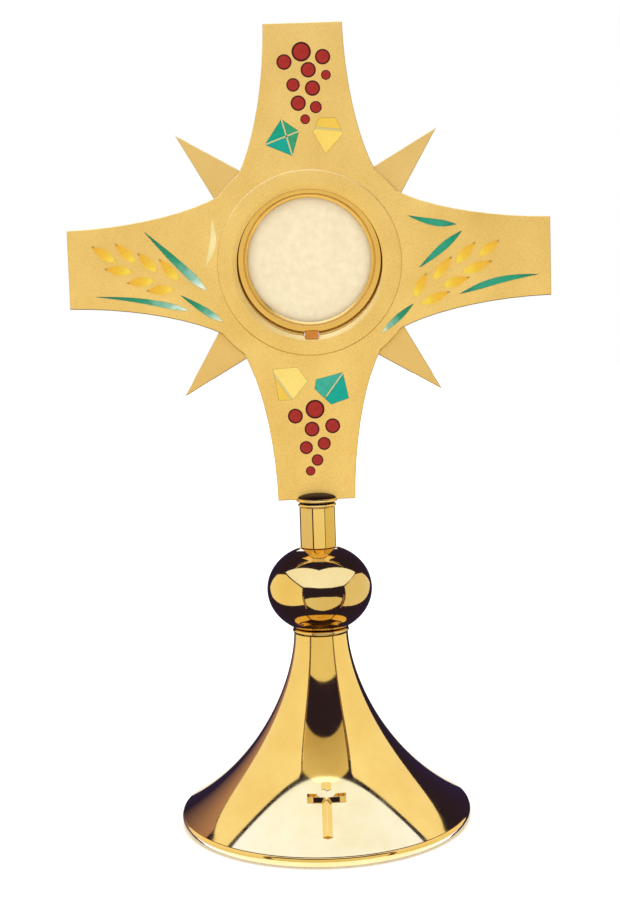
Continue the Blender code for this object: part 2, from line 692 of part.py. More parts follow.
def make_collar(parts, cutters):
    edge = 0.0004
    lower = COLLAR_RADIUS - 0.0005
    groove = COLLAR_RADIUS - 0.0013
    base = COLLAR_BOTTOM_Z
    rim = COLLAR_RIM_Z
    dome_radius = COLLAR_RADIUS - 0.0007
    dome = [
        (dome_radius * math.sin(angle), rim + COLLAR_DOME * math.cos(angle))
        for angle in (math.pi / 2 * i / 4 for i in range(5))
    ]
    profile = dome + [
        (COLLAR_RADIUS, rim - edge), (COLLAR_RADIUS, base + 0.66 * COLLAR_HEIGHT),
        (groove, base + 0.56 * COLLAR_HEIGHT), (groove, base + 0.38 * COLLAR_HEIGHT),
        (lower, base + 0.32 * COLLAR_HEIGHT), (lower, base + 0.14 * COLLAR_HEIGHT),
        (STEM_RADIUS + 0.0003, base), (SPIGOT_RADIUS, base),
        (SPIGOT_RADIUS, STEM_TOP_Z - COLLAR_SPIGOT), (ROD_HOLE, STEM_TOP_Z - COLLAR_SPIGOT),
        (ROD_HOLE, ROD_BORE_TOP_Z), (0, ROD_BORE_TOP_Z),
    ]
    collar = turned("collar", profile, False, ROUND_KNOP, parts, "polished_gold")
    half = PLATE_THICKNESS / 2 + GAP
    slot = add_box(
        "collar_slot", (-FAR, -half, PLATE_BOTTOM_Z - GAP), (FAR, half, COLLAR_TOP_Z + FAR), cutters
    )
    tenon_half = TENON_WIDTH / 2 + GAP
    mortise = add_box(
        "collar_mortise", (-tenon_half, -half, TENON_BOTTOM_Z - GAP), (tenon_half, half, COLLAR_TOP_Z), cutters
    )
    cut(collar, slot)
    cut(collar, mortise)
    for side, label in ((-1, "left"), (1, "right")):
        front, back = plate_screw_ends(side)
        front = (front[0], front[1] - GAP, front[2])
        back = (back[0], back[1] + FAR, back[2])
        hole = add_rod(
            "collar_hole_" + label, front, back, PLATE_SCREW_RADIUS + GAP, ROUND_SMALL // 2, cutters
        )
        cut(collar, hole)
    return collar


def make_plate_screws(parts):
    for side, label in ((-1, "left"), (1, "right")):
        front, back = plate_screw_ends(side)
        add_rod("plate_screw_" + label, front, back, PLATE_SCREW_RADIUS, ROUND_SMALL // 2, parts, "steel")


def make_tie_rod(parts):
    edge = 0.0005
    profile = disc_profile(ROD_RADIUS, ROD_TOP_Z, ROD_BOTTOM_Z, edge)
    turned("tie_rod", profile, False, ROUND_GRAPE, parts, "steel")
    washer = ring_profile(WASHER_RADIUS, ROD_HOLE, WASHER_Z + WASHER_THICKNESS, WASHER_Z)
    turned("tie_rod_washer", washer, True, ROUND_SMALL, parts, "steel")


def make_nut(parts, cutters):
    nut = add_rod(
        "tie_rod_nut", (0, 0, NUT_Z), (0, 0, NUT_Z + NUT_HEIGHT), NUT_RADIUS, 6, parts, "steel"
    )
    bore = add_rod(
        "nut_bore", (0, 0, NUT_Z - FAR), (0, 0, NUT_Z + NUT_HEIGHT + FAR), ROD_HOLE, ROUND_GRAPE, cutters
    )
    bevel(nut, 0.0004)
    cut(nut, bore)


# ---------------------------------------------------------------- cross head


def cross_outline():
    """The plate's outline: four flared arms round a disc, with Bezier handles along each flare.

    Each arm is drawn pointing up and turned into place. The lower one ends in the tenon.
    """
    rest = math.sqrt(DISC_RADIUS ** 2 - ARM_ROOT_HALF ** 2)
    # The short arc of the disc between two arms turns through this angle.
    turn = math.atan2(rest, ARM_ROOT_HALF) - math.atan2(ARM_ROOT_HALF, rest)
    handle = 4 / 3 * math.tan(turn / 4)
    flare = (ARM_ROOT_HALF - ARM_END_HALF) * 0.53
    root_out = (ARM_ROOT_HALF + rest * handle, rest - ARM_ROOT_HALF * handle)
    tenon = TENON_WIDTH / 2
    outline = []
    for quarter, reach in enumerate((ARM_UP, ARM_SIDE, ARM_DOWN, ARM_SIDE)):
        near = (ARM_ROOT_HALF - flare, rest + 0.20 * (reach - rest))
        far = (ARM_END_HALF + 0.0005, rest + 0.58 * (reach - rest))
        arm = [
            ((-ARM_ROOT_HALF, rest), (-root_out[0], root_out[1]), (-near[0], near[1])),
            ((-ARM_END_HALF, reach), (-far[0], far[1]), None),
            ((ARM_END_HALF, reach), None, far),
            ((ARM_ROOT_HALF, rest), near, root_out),
        ]
        if quarter == 2:
            low = reach + TENON_DEPTH
            arm[2:2] = corners([(-tenon, reach), (-tenon, low), (tenon, low), (tenon, reach)])
        turned_by = Matrix.Rotation(-quarter * math.pi / 2, 2)
        for triple in arm:
            outline.append(tuple(point and tuple(turned_by @ Vector(point)) for point in triple))
    return outline


def cell_cutter(name, points, cells):
    front = FRONT_Y - FAR / 4
    back = FRONT_Y + CELL_DEPTH
    return flat_piece("cell_" + name, corners(points), front, back, cells)


def make_cells(cells):
    """A cutter for every sunk cell of the enamel."""
    for label, grapes in (("top", GRAPES_TOP), ("bottom", GRAPES_BOTTOM)):
        for i, (across, up, radius) in enumerate(grapes):
            front = (across, FRONT_Y - FAR / 4, CROSS_Z + up)
            back = (across, FRONT_Y + CELL_DEPTH, CROSS_Z + up)
            add_rod("cell_grape_%s_%d" % (label, i + 1), front, back, radius, ROUND_GRAPE, cells)
    for name, points in LEAVES.items():
        cell_cutter(name, points, cells)
    for name, blade in BLADES.items():
        cell_cutter(name, leaf_shape(*blade), cells)
    for i, (tip, butt) in enumerate(GRAINS):
        cell_cutter("grain_%d" % (i + 1), leaf_shape(tip, butt, GRAIN_WIDEST, GRAIN_WIDTH, 0, steps=3), cells)


def make_cross_plate(parts, cutters, cells):
    plate = flat_piece(
        "cross_plate", cross_outline(), FRONT_Y, BACK_Y, parts, "satin_gold", resolution=9, chamfer=PLATE_CHAMFER
    )
    window = turned_facing(
        "plate_window", disc_profile(PLATE_WINDOW_RADIUS, FRONT_Y - FAR, BACK_Y + FAR), False,
        ROUND_LARGE, cutters, height=CROSS_Z,
    )
    recess = turned_facing(
        "plate_recess", disc_profile(BEZEL_RADIUS + GAP, FRONT_Y - FAR, RECESS_Y), False,
        ROUND_LARGE, cutters, height=CROSS_Z,
    )
    cut(plate, window)
    cut(plate, recess)
    for side, label in ((-1, "left"), (1, "right")):
        across = side * PLATE_SCREW_SPREAD
        hole = add_rod(
            "plate_hole_" + label, (across, -FAR, PLATE_SCREW_Z), (across, FAR, PLATE_SCREW_Z),
            PLATE_SCREW_RADIUS + GAP, ROUND_SMALL // 2, cutters,
        )
        cut(plate, hole)
    cut(plate, cells)
    return plate


def make_bezel_ring(parts):
    edge = PLATE_CHAMFER
    profile = [
        (BEZEL_RADIUS - edge, BEZEL_FRONT_Y), (BEZEL_RADIUS, BEZEL_FRONT_Y + edge),
        (BEZEL_RADIUS, BEZEL_BACK_Y), (WINDOW_RADIUS, BEZEL_BACK_Y),
        (WINDOW_RADIUS, BEZEL_FRONT_Y + BEZEL_CHAMFER), (WINDOW_RADIUS + BEZEL_CHAMFER, BEZEL_FRONT_Y),
    ]
    return turned_facing("bezel_ring", profile, True, ROUND_LARGE, parts, "satin_gold", CROSS_Z)


def make_rays(parts):
    root = max(HOUSING_RADIUS + LUNA_RISE, DISC_RADIUS - 0.015) + 4 * GAP
    half = (RAY_TIP - root) * RAY_SLOPE
    outline = [(-half, root), (half, root), (0, RAY_TIP)]
    for label, angle in (("upper_left", 45), ("lower_left", 135), ("lower_right", 225), ("upper_right", 315)):
        turn = Matrix.Rotation(math.radians(angle), 2)
        points = [tuple(turn @ Vector(point)) for point in outline]
        flat_piece(
            "ray_" + label, corners(points), BEHIND_Y, BEHIND_Y + RAY_THICKNESS, parts, "satin_gold",
            chamfer=PLATE_CHAMFER,
        )


def radial_box(name, angle, half_width, inner, outer, front, back, cutters):
    """A box that points out from the luna's axis, at an angle from straight up."""
    box = add_box(name, (-half_width, front, inner), (half_width, back, outer), cutters)
    box.location = (0, 0, LUNA_Z)
    box.rotation_euler = (0, math.radians(angle), 0)
    return box


def make_housing(parts, cutters):
    edge = 0.0006
    profile = [
        (HOUSING_RADIUS, BEHIND_Y), (HOUSING_RADIUS, HOUSING_BACK_Y - edge),
        (HOUSING_RADIUS - edge, HOUSING_BACK_Y), (FLANGE_BORE, HOUSING_BACK_Y), (FLANGE_BORE, SHOULDER_Y),
        (LUNA_BORE, SHOULDER_Y), (LUNA_BORE, BEHIND_Y + edge), (LUNA_BORE + edge, BEHIND_Y),
    ]
    housing = turned_facing("luna_housing", profile, True, ROUND_LARGE, parts, "satin_gold")
    inner = LUNA_RADIUS - 0.003
    cut(housing, radial_box(
        "housing_top_notch", 0, HINGE_WIDTH / 2 + 0.0010, inner, NOTCH_RADIUS,
        FLANGE_FRONT_Y - GAP, HOUSING_BACK_Y + FAR, cutters,
    ))
    cut(housing, radial_box(
        "housing_bottom_notch", 180, TONGUE_WIDTH / 2 + GAP, inner, NOTCH_RADIUS,
        BEHIND_Y - FAR, HOUSING_BACK_Y + FAR, cutters,
    ))
    for side, label in ((-90, "left"), (90, "right")):
        hole = add_rod(
            "housing_hole_" + label, (0, dimple_y(), inner), (0, dimple_y(), HOUSING_RADIUS + FAR),
            DIMPLE_RADIUS + GAP, ROUND_SMALL // 2, cutters,
        )
        hole.location = (0, 0, LUNA_Z)
        hole.rotation_euler = (0, math.radians(side), 0)
        cut(housing, hole)
    return housing


def dimple_y():
    return (FLANGE_FRONT_Y + FRONT_RING_BACK_Y) / 2 + 0.0012


def make_spring_clips(parts, cutters):
    """Each is a curved leaf outside the housing, with a dimple that reaches in to the luna's flange."""
    inner = HOUSING_RADIUS + GAP
    outer = inner + SPRING_THICKNESS
    front = dimple_y() - SPRING_WIDTH / 2
    back = dimple_y() + SPRING_WIDTH / 2
    for side, label in ((-90, "left"), (90, "right")):
        profile = ring_profile(outer, inner, front, back)
        clip = turned_facing("spring_clip_" + label, profile, True, ROUND_LARGE, parts, "brass")
        span = radial_box(
            "spring_span_" + label, side, SPRING_LENGTH / 2, inner - 0.01, outer + 0.01,
            front - FAR, back + FAR, cutters,
        )
        dimple = add_rod(
            "spring_dimple_" + label, (0, dimple_y(), FLANGE_BORE), (0, dimple_y(), inner + SPRING_THICKNESS / 2),
            DIMPLE_RADIUS, ROUND_SMALL // 2, cutters,
        )
        dimple.location = (0, 0, LUNA_Z)
        dimple.rotation_euler = (0, math.radians(side), 0)
        cut(clip, span, "INTERSECT")
        cut(clip, dimple, "UNION")


def make_enamel(parts):
    front = FRONT_Y - ENAMEL_PROUD
    back = FRONT_Y + CELL_DEPTH - GAP
    for label, grapes in (("top", GRAPES_TOP), ("bottom", GRAPES_BOTTOM)):
        for i, (across, up, radius) in enumerate(grapes):
            add_rod(
                "grape_%s_%d" % (label, i + 1), (across, front, CROSS_Z + up), (across, back, CROSS_Z + up),
                radius - GAP, ROUND_GRAPE, parts, "grape_enamel",
            )
    finishes = {"green": "green_enamel", "turquoise": "turquoise_enamel", "yellow": "yellow_enamel"}
    for name, points in LEAVES.items():
        shrunk = widened(points, -GAP)
        flat_piece(name, corners(shrunk), front, back, parts, finishes[name.split("_")[-1]])


# ---------------------------------------------------------------- luna


def knuckle(name, low, high, cutters):
    """A cylinder round the hinge axis, from one place along it to another."""
    return add_rod(name, (low, HINGE_Y, HINGE_Z), (high, HINGE_Y, HINGE_Z), KNUCKLE_RADIUS, 16, cutters)


def hinge_bore(name, low, high, radius, cutters):
    return add_rod(name, (low, HINGE_Y, HINGE_Z), (high, HINGE_Y, HINGE_Z), radius, 14, cutters)


def make_front_ring(parts, cutters):
    edge = 0.0006
    profile = [
        (LUNA_RADIUS - edge, LUNA_FRONT_Y), (LUNA_RADIUS, LUNA_FRONT_Y + edge),
        (LUNA_RADIUS, FLANGE_FRONT_Y), (FLANGE_RADIUS, FLANGE_FRONT_Y), (FLANGE_RADIUS, FRONT_RING_BACK_Y),
        (SEAT_RADIUS, FRONT_RING_BACK_Y), (SEAT_RADIUS, LUNA_FRONT_Y + FRONT_LIP_DEPTH),
        (OPENING_RADIUS, LUNA_FRONT_Y + FRONT_LIP_DEPTH), (OPENING_RADIUS, LUNA_FRONT_Y + edge),
        (OPENING_RADIUS + edge, LUNA_FRONT_Y),
    ]
    ring = turned_facing("luna_front_ring", profile, True, ROUND_LARGE, parts, "polished_gold")
    cut(ring, radial_box(
        "flange_notch", 180, TONGUE_WIDTH / 2 + GAP, LUNA_RADIUS + GAP / 3, FLANGE_RADIUS + FAR,
        FLANGE_FRONT_Y - GAP, FRONT_RING_BACK_Y + FAR, cutters,
    ))
    # Two lugs carry the outer knuckles, on either side of the back ring's.
    for side, label in ((-1, "left"), (1, "right")):
        ends = sorted((side * (HINGE_MIDDLE / 2 + GAP), side * HINGE_WIDTH / 2))
        lug = add_box(
            "front_lug_" + label,
            (ends[0], FLANGE_FRONT_Y, LUNA_Z + SEAT_RADIUS + 0.0008),
            (ends[1], HINGE_Y, HINGE_Z + KNUCKLE_RADIUS / 2), cutters,
        )
        cut(ring, lug, "UNION")
        cut(ring, knuckle("front_knuckle_" + label, ends[0], ends[1], cutters), "UNION")
    # The back ring's rim and knuckle need room beside the lugs.
    cut(ring, add_box(
        "front_lug_room",
        (-HINGE_WIDTH, FRONT_RING_BACK_Y, LUNA_Z + SEAT_RADIUS - 0.002),
        (HINGE_WIDTH, BACK_RING_BACK_Y + FAR, LUNA_Z + LUNA_RADIUS + GAP), cutters,
    ))
    cut(ring, hinge_bore("front_bore", -HINGE_WIDTH, HINGE_WIDTH, PIN_RADIUS + GAP, cutters))
    return ring


def make_back_ring(parts, cutters):
    edge = 0.0005
    profile = [
        (BACK_RING_RADIUS, BACK_RING_FRONT_Y), (BACK_RING_RADIUS, BACK_RING_BACK_Y - edge),
        (BACK_RING_RADIUS - edge, BACK_RING_BACK_Y), (OPENING_RADIUS, BACK_RING_BACK_Y),
        (OPENING_RADIUS, BACK_RING_BACK_Y - BACK_LIP_DEPTH), (SEAT_RADIUS, BACK_RING_BACK_Y - BACK_LIP_DEPTH),
        (SEAT_RADIUS, BACK_RING_FRONT_Y),
    ]
    ring = turned_facing("luna_back_ring", profile, True, ROUND_LARGE, parts, "polished_gold")
    half = HINGE_MIDDLE / 2
    lug = add_box(
        "back_lug", (-half, HINGE_Y - KNUCKLE_RADIUS * 0.8, LUNA_Z + SEAT_RADIUS + 0.0008),
        (half, BACK_RING_BACK_Y - edge, HINGE_Z), cutters,
    )
    cut(ring, lug, "UNION")
    cut(ring, knuckle("back_knuckle", -half, half, cutters), "UNION")
    cut(ring, hinge_bore("back_bore", -HINGE_WIDTH, HINGE_WIDTH, PIN_RADIUS + GAP, cutters))
    return ring


def make_hinge_pin(parts):
    half = HINGE_WIDTH / 2
    add_rod(
        "luna_hinge_pin", (-half, HINGE_Y, HINGE_Z), (half, HINGE_Y, HINGE_Z), PIN_RADIUS, 12, parts, "steel"
    )


def make_clasp_tongue(parts, cutters):
    """A tab below the luna that shows at the front, with a foot that meets the back ring."""
    half = TONGUE_WIDTH / 2
    tongue = add_box(
        "clasp_tongue",
        (-half, LUNA_FRONT_Y - TONGUE_PROUD, LUNA_Z - TONGUE_OUTER),
        (half, HOUSING_BACK_Y + TONGUE_TAIL, LUNA_Z - TONGUE_INNER),
        parts, "copper",
    )
    foot = add_box(
        "tongue_foot",
        (-half, BACK_RING_FRONT_Y, LUNA_Z - TONGUE_OUTER + TONGUE_THICKNESS / 2),
        (half, BACK_RING_BACK_Y, LUNA_Z - BACK_RING_RADIUS - GAP), cutters,
    )
    cut(tongue, foot, "UNION")
    bevel(tongue, TONGUE_BEVEL, 2)
    return tongue


def make_luna_discs(parts):
    glass_back = FRONT_CRYSTAL_Y + CRYSTAL_THICKNESS
    profile = disc_profile(CRYSTAL_RADIUS, FRONT_CRYSTAL_Y, glass_back)
    turned_facing("front_crystal", profile, False, ROUND_LARGE, parts, "glass")
    profile = disc_profile(HOST_RADIUS, HOST_Y, HOST_Y + HOST_THICKNESS)
    turned_facing("host_wafer", profile, False, ROUND_LARGE, parts, "wafer")
    profile = disc_profile(CRYSTAL_RADIUS, BACK_CRYSTAL_Y, BACK_CRYSTAL_Y + BACK_CRYSTAL_THICKNESS)
    turned_facing("back_crystal", profile, False, ROUND_LARGE, parts, "glass")


def make_lunette_clip(parts, cutters):
    """The lower half of a flat ring behind the wafer."""
    outer = SEAT_RADIUS - GAP
    profile = ring_profile(outer, outer - LUNETTE_WIDTH, LUNETTE_Y, LUNETTE_Y + LUNETTE_THICKNESS)
    clip = turned_facing("lunette_clip", profile, True, ROUND_LARGE, parts, "brass")
    upper = add_box(
        "lunette_upper", (-FAR * 3, LUNETTE_Y - FAR, LUNA_Z + 0.002), (FAR * 3, LUNETTE_Y + FAR, LUNA_Z + 0.06),
        cutters,
    )
    cut(clip, upper)
    return clip


# ---------------------------------------------------------------- the whole object


def main():
    clear_scene()
    root = bpy.context.scene.collection
    parts = new_collection("monstrance", root)
    cutters = new_collection("cutters", root, hidden=True)
    cells = new_collection("cell_cutters", root, hidden=True)

    make_felt_pad(parts)
    make_base_cover(parts)
    make_ballast(parts)
    make_rim_ring(parts)
    make_foot_shell(parts)
    make_emblem(parts, cutters)
    make_neck_bushing(parts)
    make_neck_ring(parts)
    make_knop(parts)
    make_knop_sleeve(parts)
    make_stem_bush(parts)
    make_stem_tube(parts)
    make_collar(parts, cutters)
    make_plate_screws(parts)
    make_tie_rod(parts)
    make_nut(parts, cutters)

    make_cells(cells)
    make_cross_plate(parts, cutters, cells)
    make_bezel_ring(parts)
    make_rays(parts)
    make_housing(parts, cutters)
    make_spring_clips(parts, cutters)
    make_enamel(parts)

    make_front_ring(parts, cutters)
    make_luna_discs(parts)
    make_lunette_clip(parts, cutters)
    make_hinge_pin(parts)
    make_back_ring(parts, cutters)
    make_clasp_tongue(parts, cutters)


main()
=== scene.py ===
"""The looks of the monstrance: fine turned gold, satin plate, glass luna and cell enamel.

Metres, +Z up, the front faces -Y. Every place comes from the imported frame.
"""

import math

import bmesh
import bpy
from mathutils import Matrix, Vector


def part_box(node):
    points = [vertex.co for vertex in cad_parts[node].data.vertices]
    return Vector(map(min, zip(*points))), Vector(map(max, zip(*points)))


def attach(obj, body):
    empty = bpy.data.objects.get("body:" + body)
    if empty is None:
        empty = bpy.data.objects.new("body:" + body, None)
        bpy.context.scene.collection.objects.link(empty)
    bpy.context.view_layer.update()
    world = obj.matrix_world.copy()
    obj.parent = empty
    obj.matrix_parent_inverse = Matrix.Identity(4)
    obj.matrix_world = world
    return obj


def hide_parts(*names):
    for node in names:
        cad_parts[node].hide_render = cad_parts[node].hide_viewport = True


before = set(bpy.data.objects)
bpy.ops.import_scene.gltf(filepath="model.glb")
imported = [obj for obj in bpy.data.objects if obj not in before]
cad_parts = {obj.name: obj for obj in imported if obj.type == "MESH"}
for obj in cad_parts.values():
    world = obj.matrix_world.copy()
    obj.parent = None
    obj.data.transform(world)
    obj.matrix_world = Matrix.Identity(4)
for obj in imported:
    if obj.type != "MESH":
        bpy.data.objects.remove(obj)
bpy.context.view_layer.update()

# ---------------- sizes


def low(node):
    return Vector(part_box(node)[0])


def high(node):
    return Vector(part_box(node)[1])


GAP = 0.0003
ROUND = 192  # steps round a large turned piece
SHARP = math.radians(32)

FOOT_RADIUS = high("foot_rim_ring").x
SHELL_RADIUS = high("foot_shell").x
SHELL_BOTTOM = low("foot_shell").z
SHELL_TOP = high("foot_shell").z
SHELL_WALL = 0.0012
RIM_WIDTH = 0.0039
NECK_RADIUS = 0.0152
KNOP_RADIUS = high("knop").x
KNOP_TOP = high("knop").z
KNOP_BOTTOM = low("knop").z
KNOP_HALF_HEIGHT = 0.0249
KNOP_WALL = 0.0012
KNOP_HOLE = 0.0062
KNOP_BOTTOM_RADIUS = NECK_RADIUS - 0.0009
KNOP_Z = KNOP_BOTTOM + KNOP_HALF_HEIGHT * math.sqrt(1 - (KNOP_BOTTOM_RADIUS / KNOP_RADIUS) ** 2)
STEM_RADIUS = high("stem_tube").x
STEM_BORE = STEM_RADIUS - 0.0015
COLLAR_RADIUS = high("collar").x
COLLAR_LIP = 0.00095
GROOVE_DEPTH = 0.0023
DOME_RADIUS = 0.0107
DOME_RISE = 0.0029
EMBLEM_BAR = 0.0052
EMBLEM_HALF_HEIGHT = 0.016
EMBLEM_RELIEF = 0.0016
EMBLEM_SHARE = 0.83  # how far down the bell's curve its middle lies

FRONT = low("cross_plate").y
LUNA = (low("front_crystal") + high("front_crystal")) / 2
WINDOW = (low("bezel_ring") + high("bezel_ring")) / 2
BEZEL_RADIUS = (high("bezel_ring").x - low("bezel_ring").x) / 2
LUNA_RADIUS = 0.0396
OPENING_RADIUS = LUNA_RADIUS - 0.0036
CELL_BACK = FRONT + 0.0012 - GAP
ENAMEL_FRONT = FRONT - 0.0001
VEIN = 0.0009
GRAPE_SHADE_RIM = 0.0003  # the painted-shade dark rim laps over the edge of its cell

# The cells cut in the plate, from the middle of the window. A grain is (tip, butt).
GRAIN_WIDTH = 0.0066
GRAIN_WIDEST = 0.55
GRAINS = (
    ((-0.1190, 0.0125), (-0.1065, 0.0035)),
    ((-0.1060, 0.0135), (-0.0955, 0.0030)),
    ((-0.0940, 0.0080), (-0.0840, -0.0025)),
    ((-0.0825, 0.0045), (-0.0720, -0.0075)),
    ((-0.1125, 0.0000), (-0.0975, -0.0020)),
    ((-0.1005, -0.0080), (-0.0855, -0.0070)),
    ((-0.0900, -0.0125), (-0.0750, -0.0120)),
    ((0.1040, 0.0090), (0.0930, 0.0010)),
    ((0.0910, 0.0085), (0.0800, -0.0030)),
    ((0.0780, 0.0010), (0.0675, -0.0115)),
    ((0.0640, -0.0075), (0.0570, -0.0205)),
    ((0.1000, -0.0020), (0.0835, -0.0080)),
    ((0.0875, -0.0105), (0.0725, -0.0150)),
    ((0.0765, -0.0180), (0.0605, -0.0245)),
)
# A blade is (first end, second end, where it is widest, width, bow, finish).
BLADES = {
    "blade_left_upper": ((-0.0900, 0.0195), (-0.0570, -0.0135), 0.78, 0.0045, 0.0000, "blade"),
    "blade_left_lower": ((-0.1180, -0.0150), (-0.0670, -0.0240), 0.80, 0.0030, 0.0015, "blade"),
    "blade_left_inner": ((-0.0715, -0.0155), (-0.0490, -0.0305), 0.70, 0.0036, 0.0000, "blade"),
    "blade_right_top": ((0.0545, 0.0240), (0.0810, 0.0185), 0.65, 0.0036, -0.0010, "blade_green"),
    "blade_right_upper": ((0.0840, 0.0150), (0.0600, -0.0045), 0.40, 0.0040, 0.0000, "blade_green"),
    "blade_right_lower": ((0.1255, -0.0100), (0.0820, -0.0195), 0.60, 0.0036, -0.0020, "blade_green"),
    "blade_right_inner": ((0.0565, -0.0240), (0.0385, -0.0395), 0.50, 0.0034, 0.0000, "blade"),
    # The crescent is a cream piece put where a highlight shows on the left arm, lighter in its middle: a
    # painted highlight.
    "crescent_left": ((-0.0530, 0.0275), (-0.0580, -0.0020), 0.55, 0.0036, 0.0028, "crescent"),
}
STALK = ((0.0995, -0.0070), (0.1265, 0.0110))
# A leaf is (its corners, the lines of its gold veins, the finishes of its facets).
LEAVES = {
    "leaf_top_green": (
        ((-0.0130, 0.0780), (-0.0035, 0.0712), (-0.0075, 0.0580), (-0.0225, 0.0645)),
        (((-0.0130, 0.0780), (-0.0075, 0.0580)), ((-0.0225, 0.0645), (-0.0035, 0.0712))),
        ("leaf", "leaf", "green", "turquoise"),
    ),
    "leaf_top_yellow": (
        ((0.0075, 0.0780), (0.0165, 0.0780), (0.0205, 0.0692), (0.0105, 0.0585), (0.0040, 0.0705)),
        (((0.0035, 0.0730), (0.0205, 0.0710)),),
        ("yellow_deep", "yellow"),
    ),
    "leaf_bottom_yellow": (
        ((-0.0220, -0.0575), (-0.0085, -0.0570), (-0.0030, -0.0648), (-0.0115, -0.0750), (-0.0195, -0.0750)),
        (((-0.0225, -0.0595), (-0.0118, -0.0750)),),
        ("yellow_pale", "yellow_deep"),
    ),
    "leaf_bottom_turquoise": (
        ((0.0015, -0.0640), (0.0165, -0.0605), (0.0195, -0.0750), (0.0095, -0.0782), (0.0005, -0.0692)),
        (((0.0172, -0.0600), (0.0070, -0.0735)),),
        ("turquoise", "turquoise_light"),
    ),
}

# ---------------- materials


class Tree:
    """A node tree, with a short way to add and link nodes."""

    def __init__(self, tree):
        self.tree = tree

    def add(self, kind, inputs=(), **settings):
        made = self.tree.nodes.new("ShaderNode" + kind)
        for key, value in settings.items():
            setattr(made, key, value)
        for key, value in dict(inputs).items():
            if isinstance(value, bpy.types.NodeSocket):
                self.tree.links.new(value, made.inputs[key])
            else:
                made.inputs[key].default_value = value
        return made

    def ramp(self, factor, *stops):
        """A colour ramp: each stop is (position, grey or colour)."""
        made = self.add("ValToRGB", {"Fac": factor})
        elements = made.color_ramp.elements
        while len(elements) < len(stops):
            elements.new(0.5)
        for element, (position, value) in zip(elements, stops):
            element.position = position
            element.color = (*value, 1) if isinstance(value, tuple) else (value, value, value, 1)
        return made.outputs["Color"]

    def mix(self, factor, one, two, blend="MIX"):
        made = self.add("Mix", data_type="RGBA", blend_type=blend)
        for index, value in ((0, factor), (6, one), (7, two)):
            if isinstance(value, bpy.types.NodeSocket):
                self.tree.links.new(value, made.inputs[index])
            else:
                made.inputs[index].default_value = (*value, 1) if isinstance(value, tuple) else value
        return made.outputs[2]

    def math(self, operation, one, two=0.0):
        return self.add("Math", {0: one, 1: two}, operation=operation).outputs[0]

    def dot(self, vector, axis):
        return self.add("VectorMath", {0: vector, 1: tuple(axis)}, operation="DOT_PRODUCT").outputs["Value"]


class Nodes(Tree):
    """A new material's nodes."""

    def __init__(self, name):
        self.material = bpy.data.materials.new(name)
        self.material.use_nodes = True
        super().__init__(self.material.node_tree)
        self.shader = self.tree.nodes["Principled BSDF"]

    def set(self, **values):
        """Values or sockets for the shader: underscores stand for spaces."""
        for key, value in values.items():
            socket = self.shader.inputs[key.replace("_", " ")]
            if isinstance(value, bpy.types.NodeSocket):
                self.tree.links.new(value, socket)
            else:
                socket.default_value = value

    def place(self, kind="Object"):
        return self.add("TexCoord").outputs[kind]

    def noise(self, scale, detail=3.0, roughness=0.5, place=None):
        inputs = {"Vector": place or self.place(), "Scale": scale, "Detail": detail, "Roughness": roughness}
        return self.add("TexNoise", inputs).outputs["Fac"]

    def radius(self, place, middle):
        """How far each point is from the line along Y at X = Z = middle."""
        spread = self.add("SeparateXYZ", {"Vector": place}).outputs
        away = [self.math("POWER", self.math("SUBTRACT", spread[axis], middle), 2.0) for axis in "XZ"]
        return self.math("SQRT", self.math("ADD", *away))

    def bump(self, height, strength, distance):
        made = self.add("Bump", {"Height": height, "Strength": strength, "Distance": distance})
        self.set(Normal=made.outputs["Normal"])


GOLD = (0.86, 0.575, 0.155)
GOLD_WARM = (0.80, 0.50, 0.12)
SATIN = (0.87, 0.60, 0.20)
SATIN_DARK = (0.76, 0.49, 0.14)


def polished(name, light, dark, roughness=0.055):
    """Mirror-bright plated metal with faint smudges and hair scratches."""
    made = Nodes(name)
    cloud = made.noise(38, 4, 0.6)
    made.set(Base_Color=made.mix(made.ramp(cloud, (0.35, 0.0), (0.7, 1.0)), light, dark), Metallic=1.0)
    smudge = made.noise(95, 5, 0.65)
    made.set(Roughness=made.ramp(smudge, (0.3, roughness * 0.7), (0.75, roughness * 1.6)))
    stretched = made.add("Mapping", {"Vector": made.place(), "Scale": (900, 900, 4200)}).outputs[0]
    scratches = made.noise(1.0, 2, 0.5, stretched)
    made.bump(scratches, 0.035, 0.00004)
    return made.material


def satin(name, light, dark, roughness=0.42):
    """Sand-blasted plated metal: a fine sparkling grain over slow shifts of colour."""
    made = Nodes(name)
    slow = made.ramp(made.noise(26, 3, 0.5), (0.3, 0.0), (0.75, 1.0))
    grain = made.noise(1900, 2, 0.6)
    base = made.mix(slow, light, dark)
    speckle = made.ramp(grain, (0.30, 0.84), (0.5, 0.97), (0.7, 1.0))
    made.set(Base_Color=made.mix(1.0, base, speckle, "MULTIPLY"), Metallic=1.0)
    made.set(Roughness=made.ramp(grain, (0.3, roughness + 0.10), (0.7, roughness - 0.06)))
    made.bump(grain, 0.25, 0.00008)
    return made.material


def brushed(name, light, dark, roughness=0.34):
    """Turned metal that doesn't show from the front: fine tool lines and dull patches."""
    made = Nodes(name)
    patch = made.ramp(made.noise(60, 4, 0.6), (0.35, 0.0), (0.7, 1.0))
    stretched = made.add("Mapping", {"Vector": made.place(), "Scale": (120, 120, 5200)}).outputs[0]
    lines = made.noise(1.0, 3, 0.6, stretched)
    made.set(Base_Color=made.mix(patch, light, dark), Metallic=1.0)
    made.set(Roughness=made.ramp(lines, (0.3, roughness - 0.08), (0.7, roughness + 0.12)))
    made.bump(lines, 0.2, 0.00008)
    return made.material


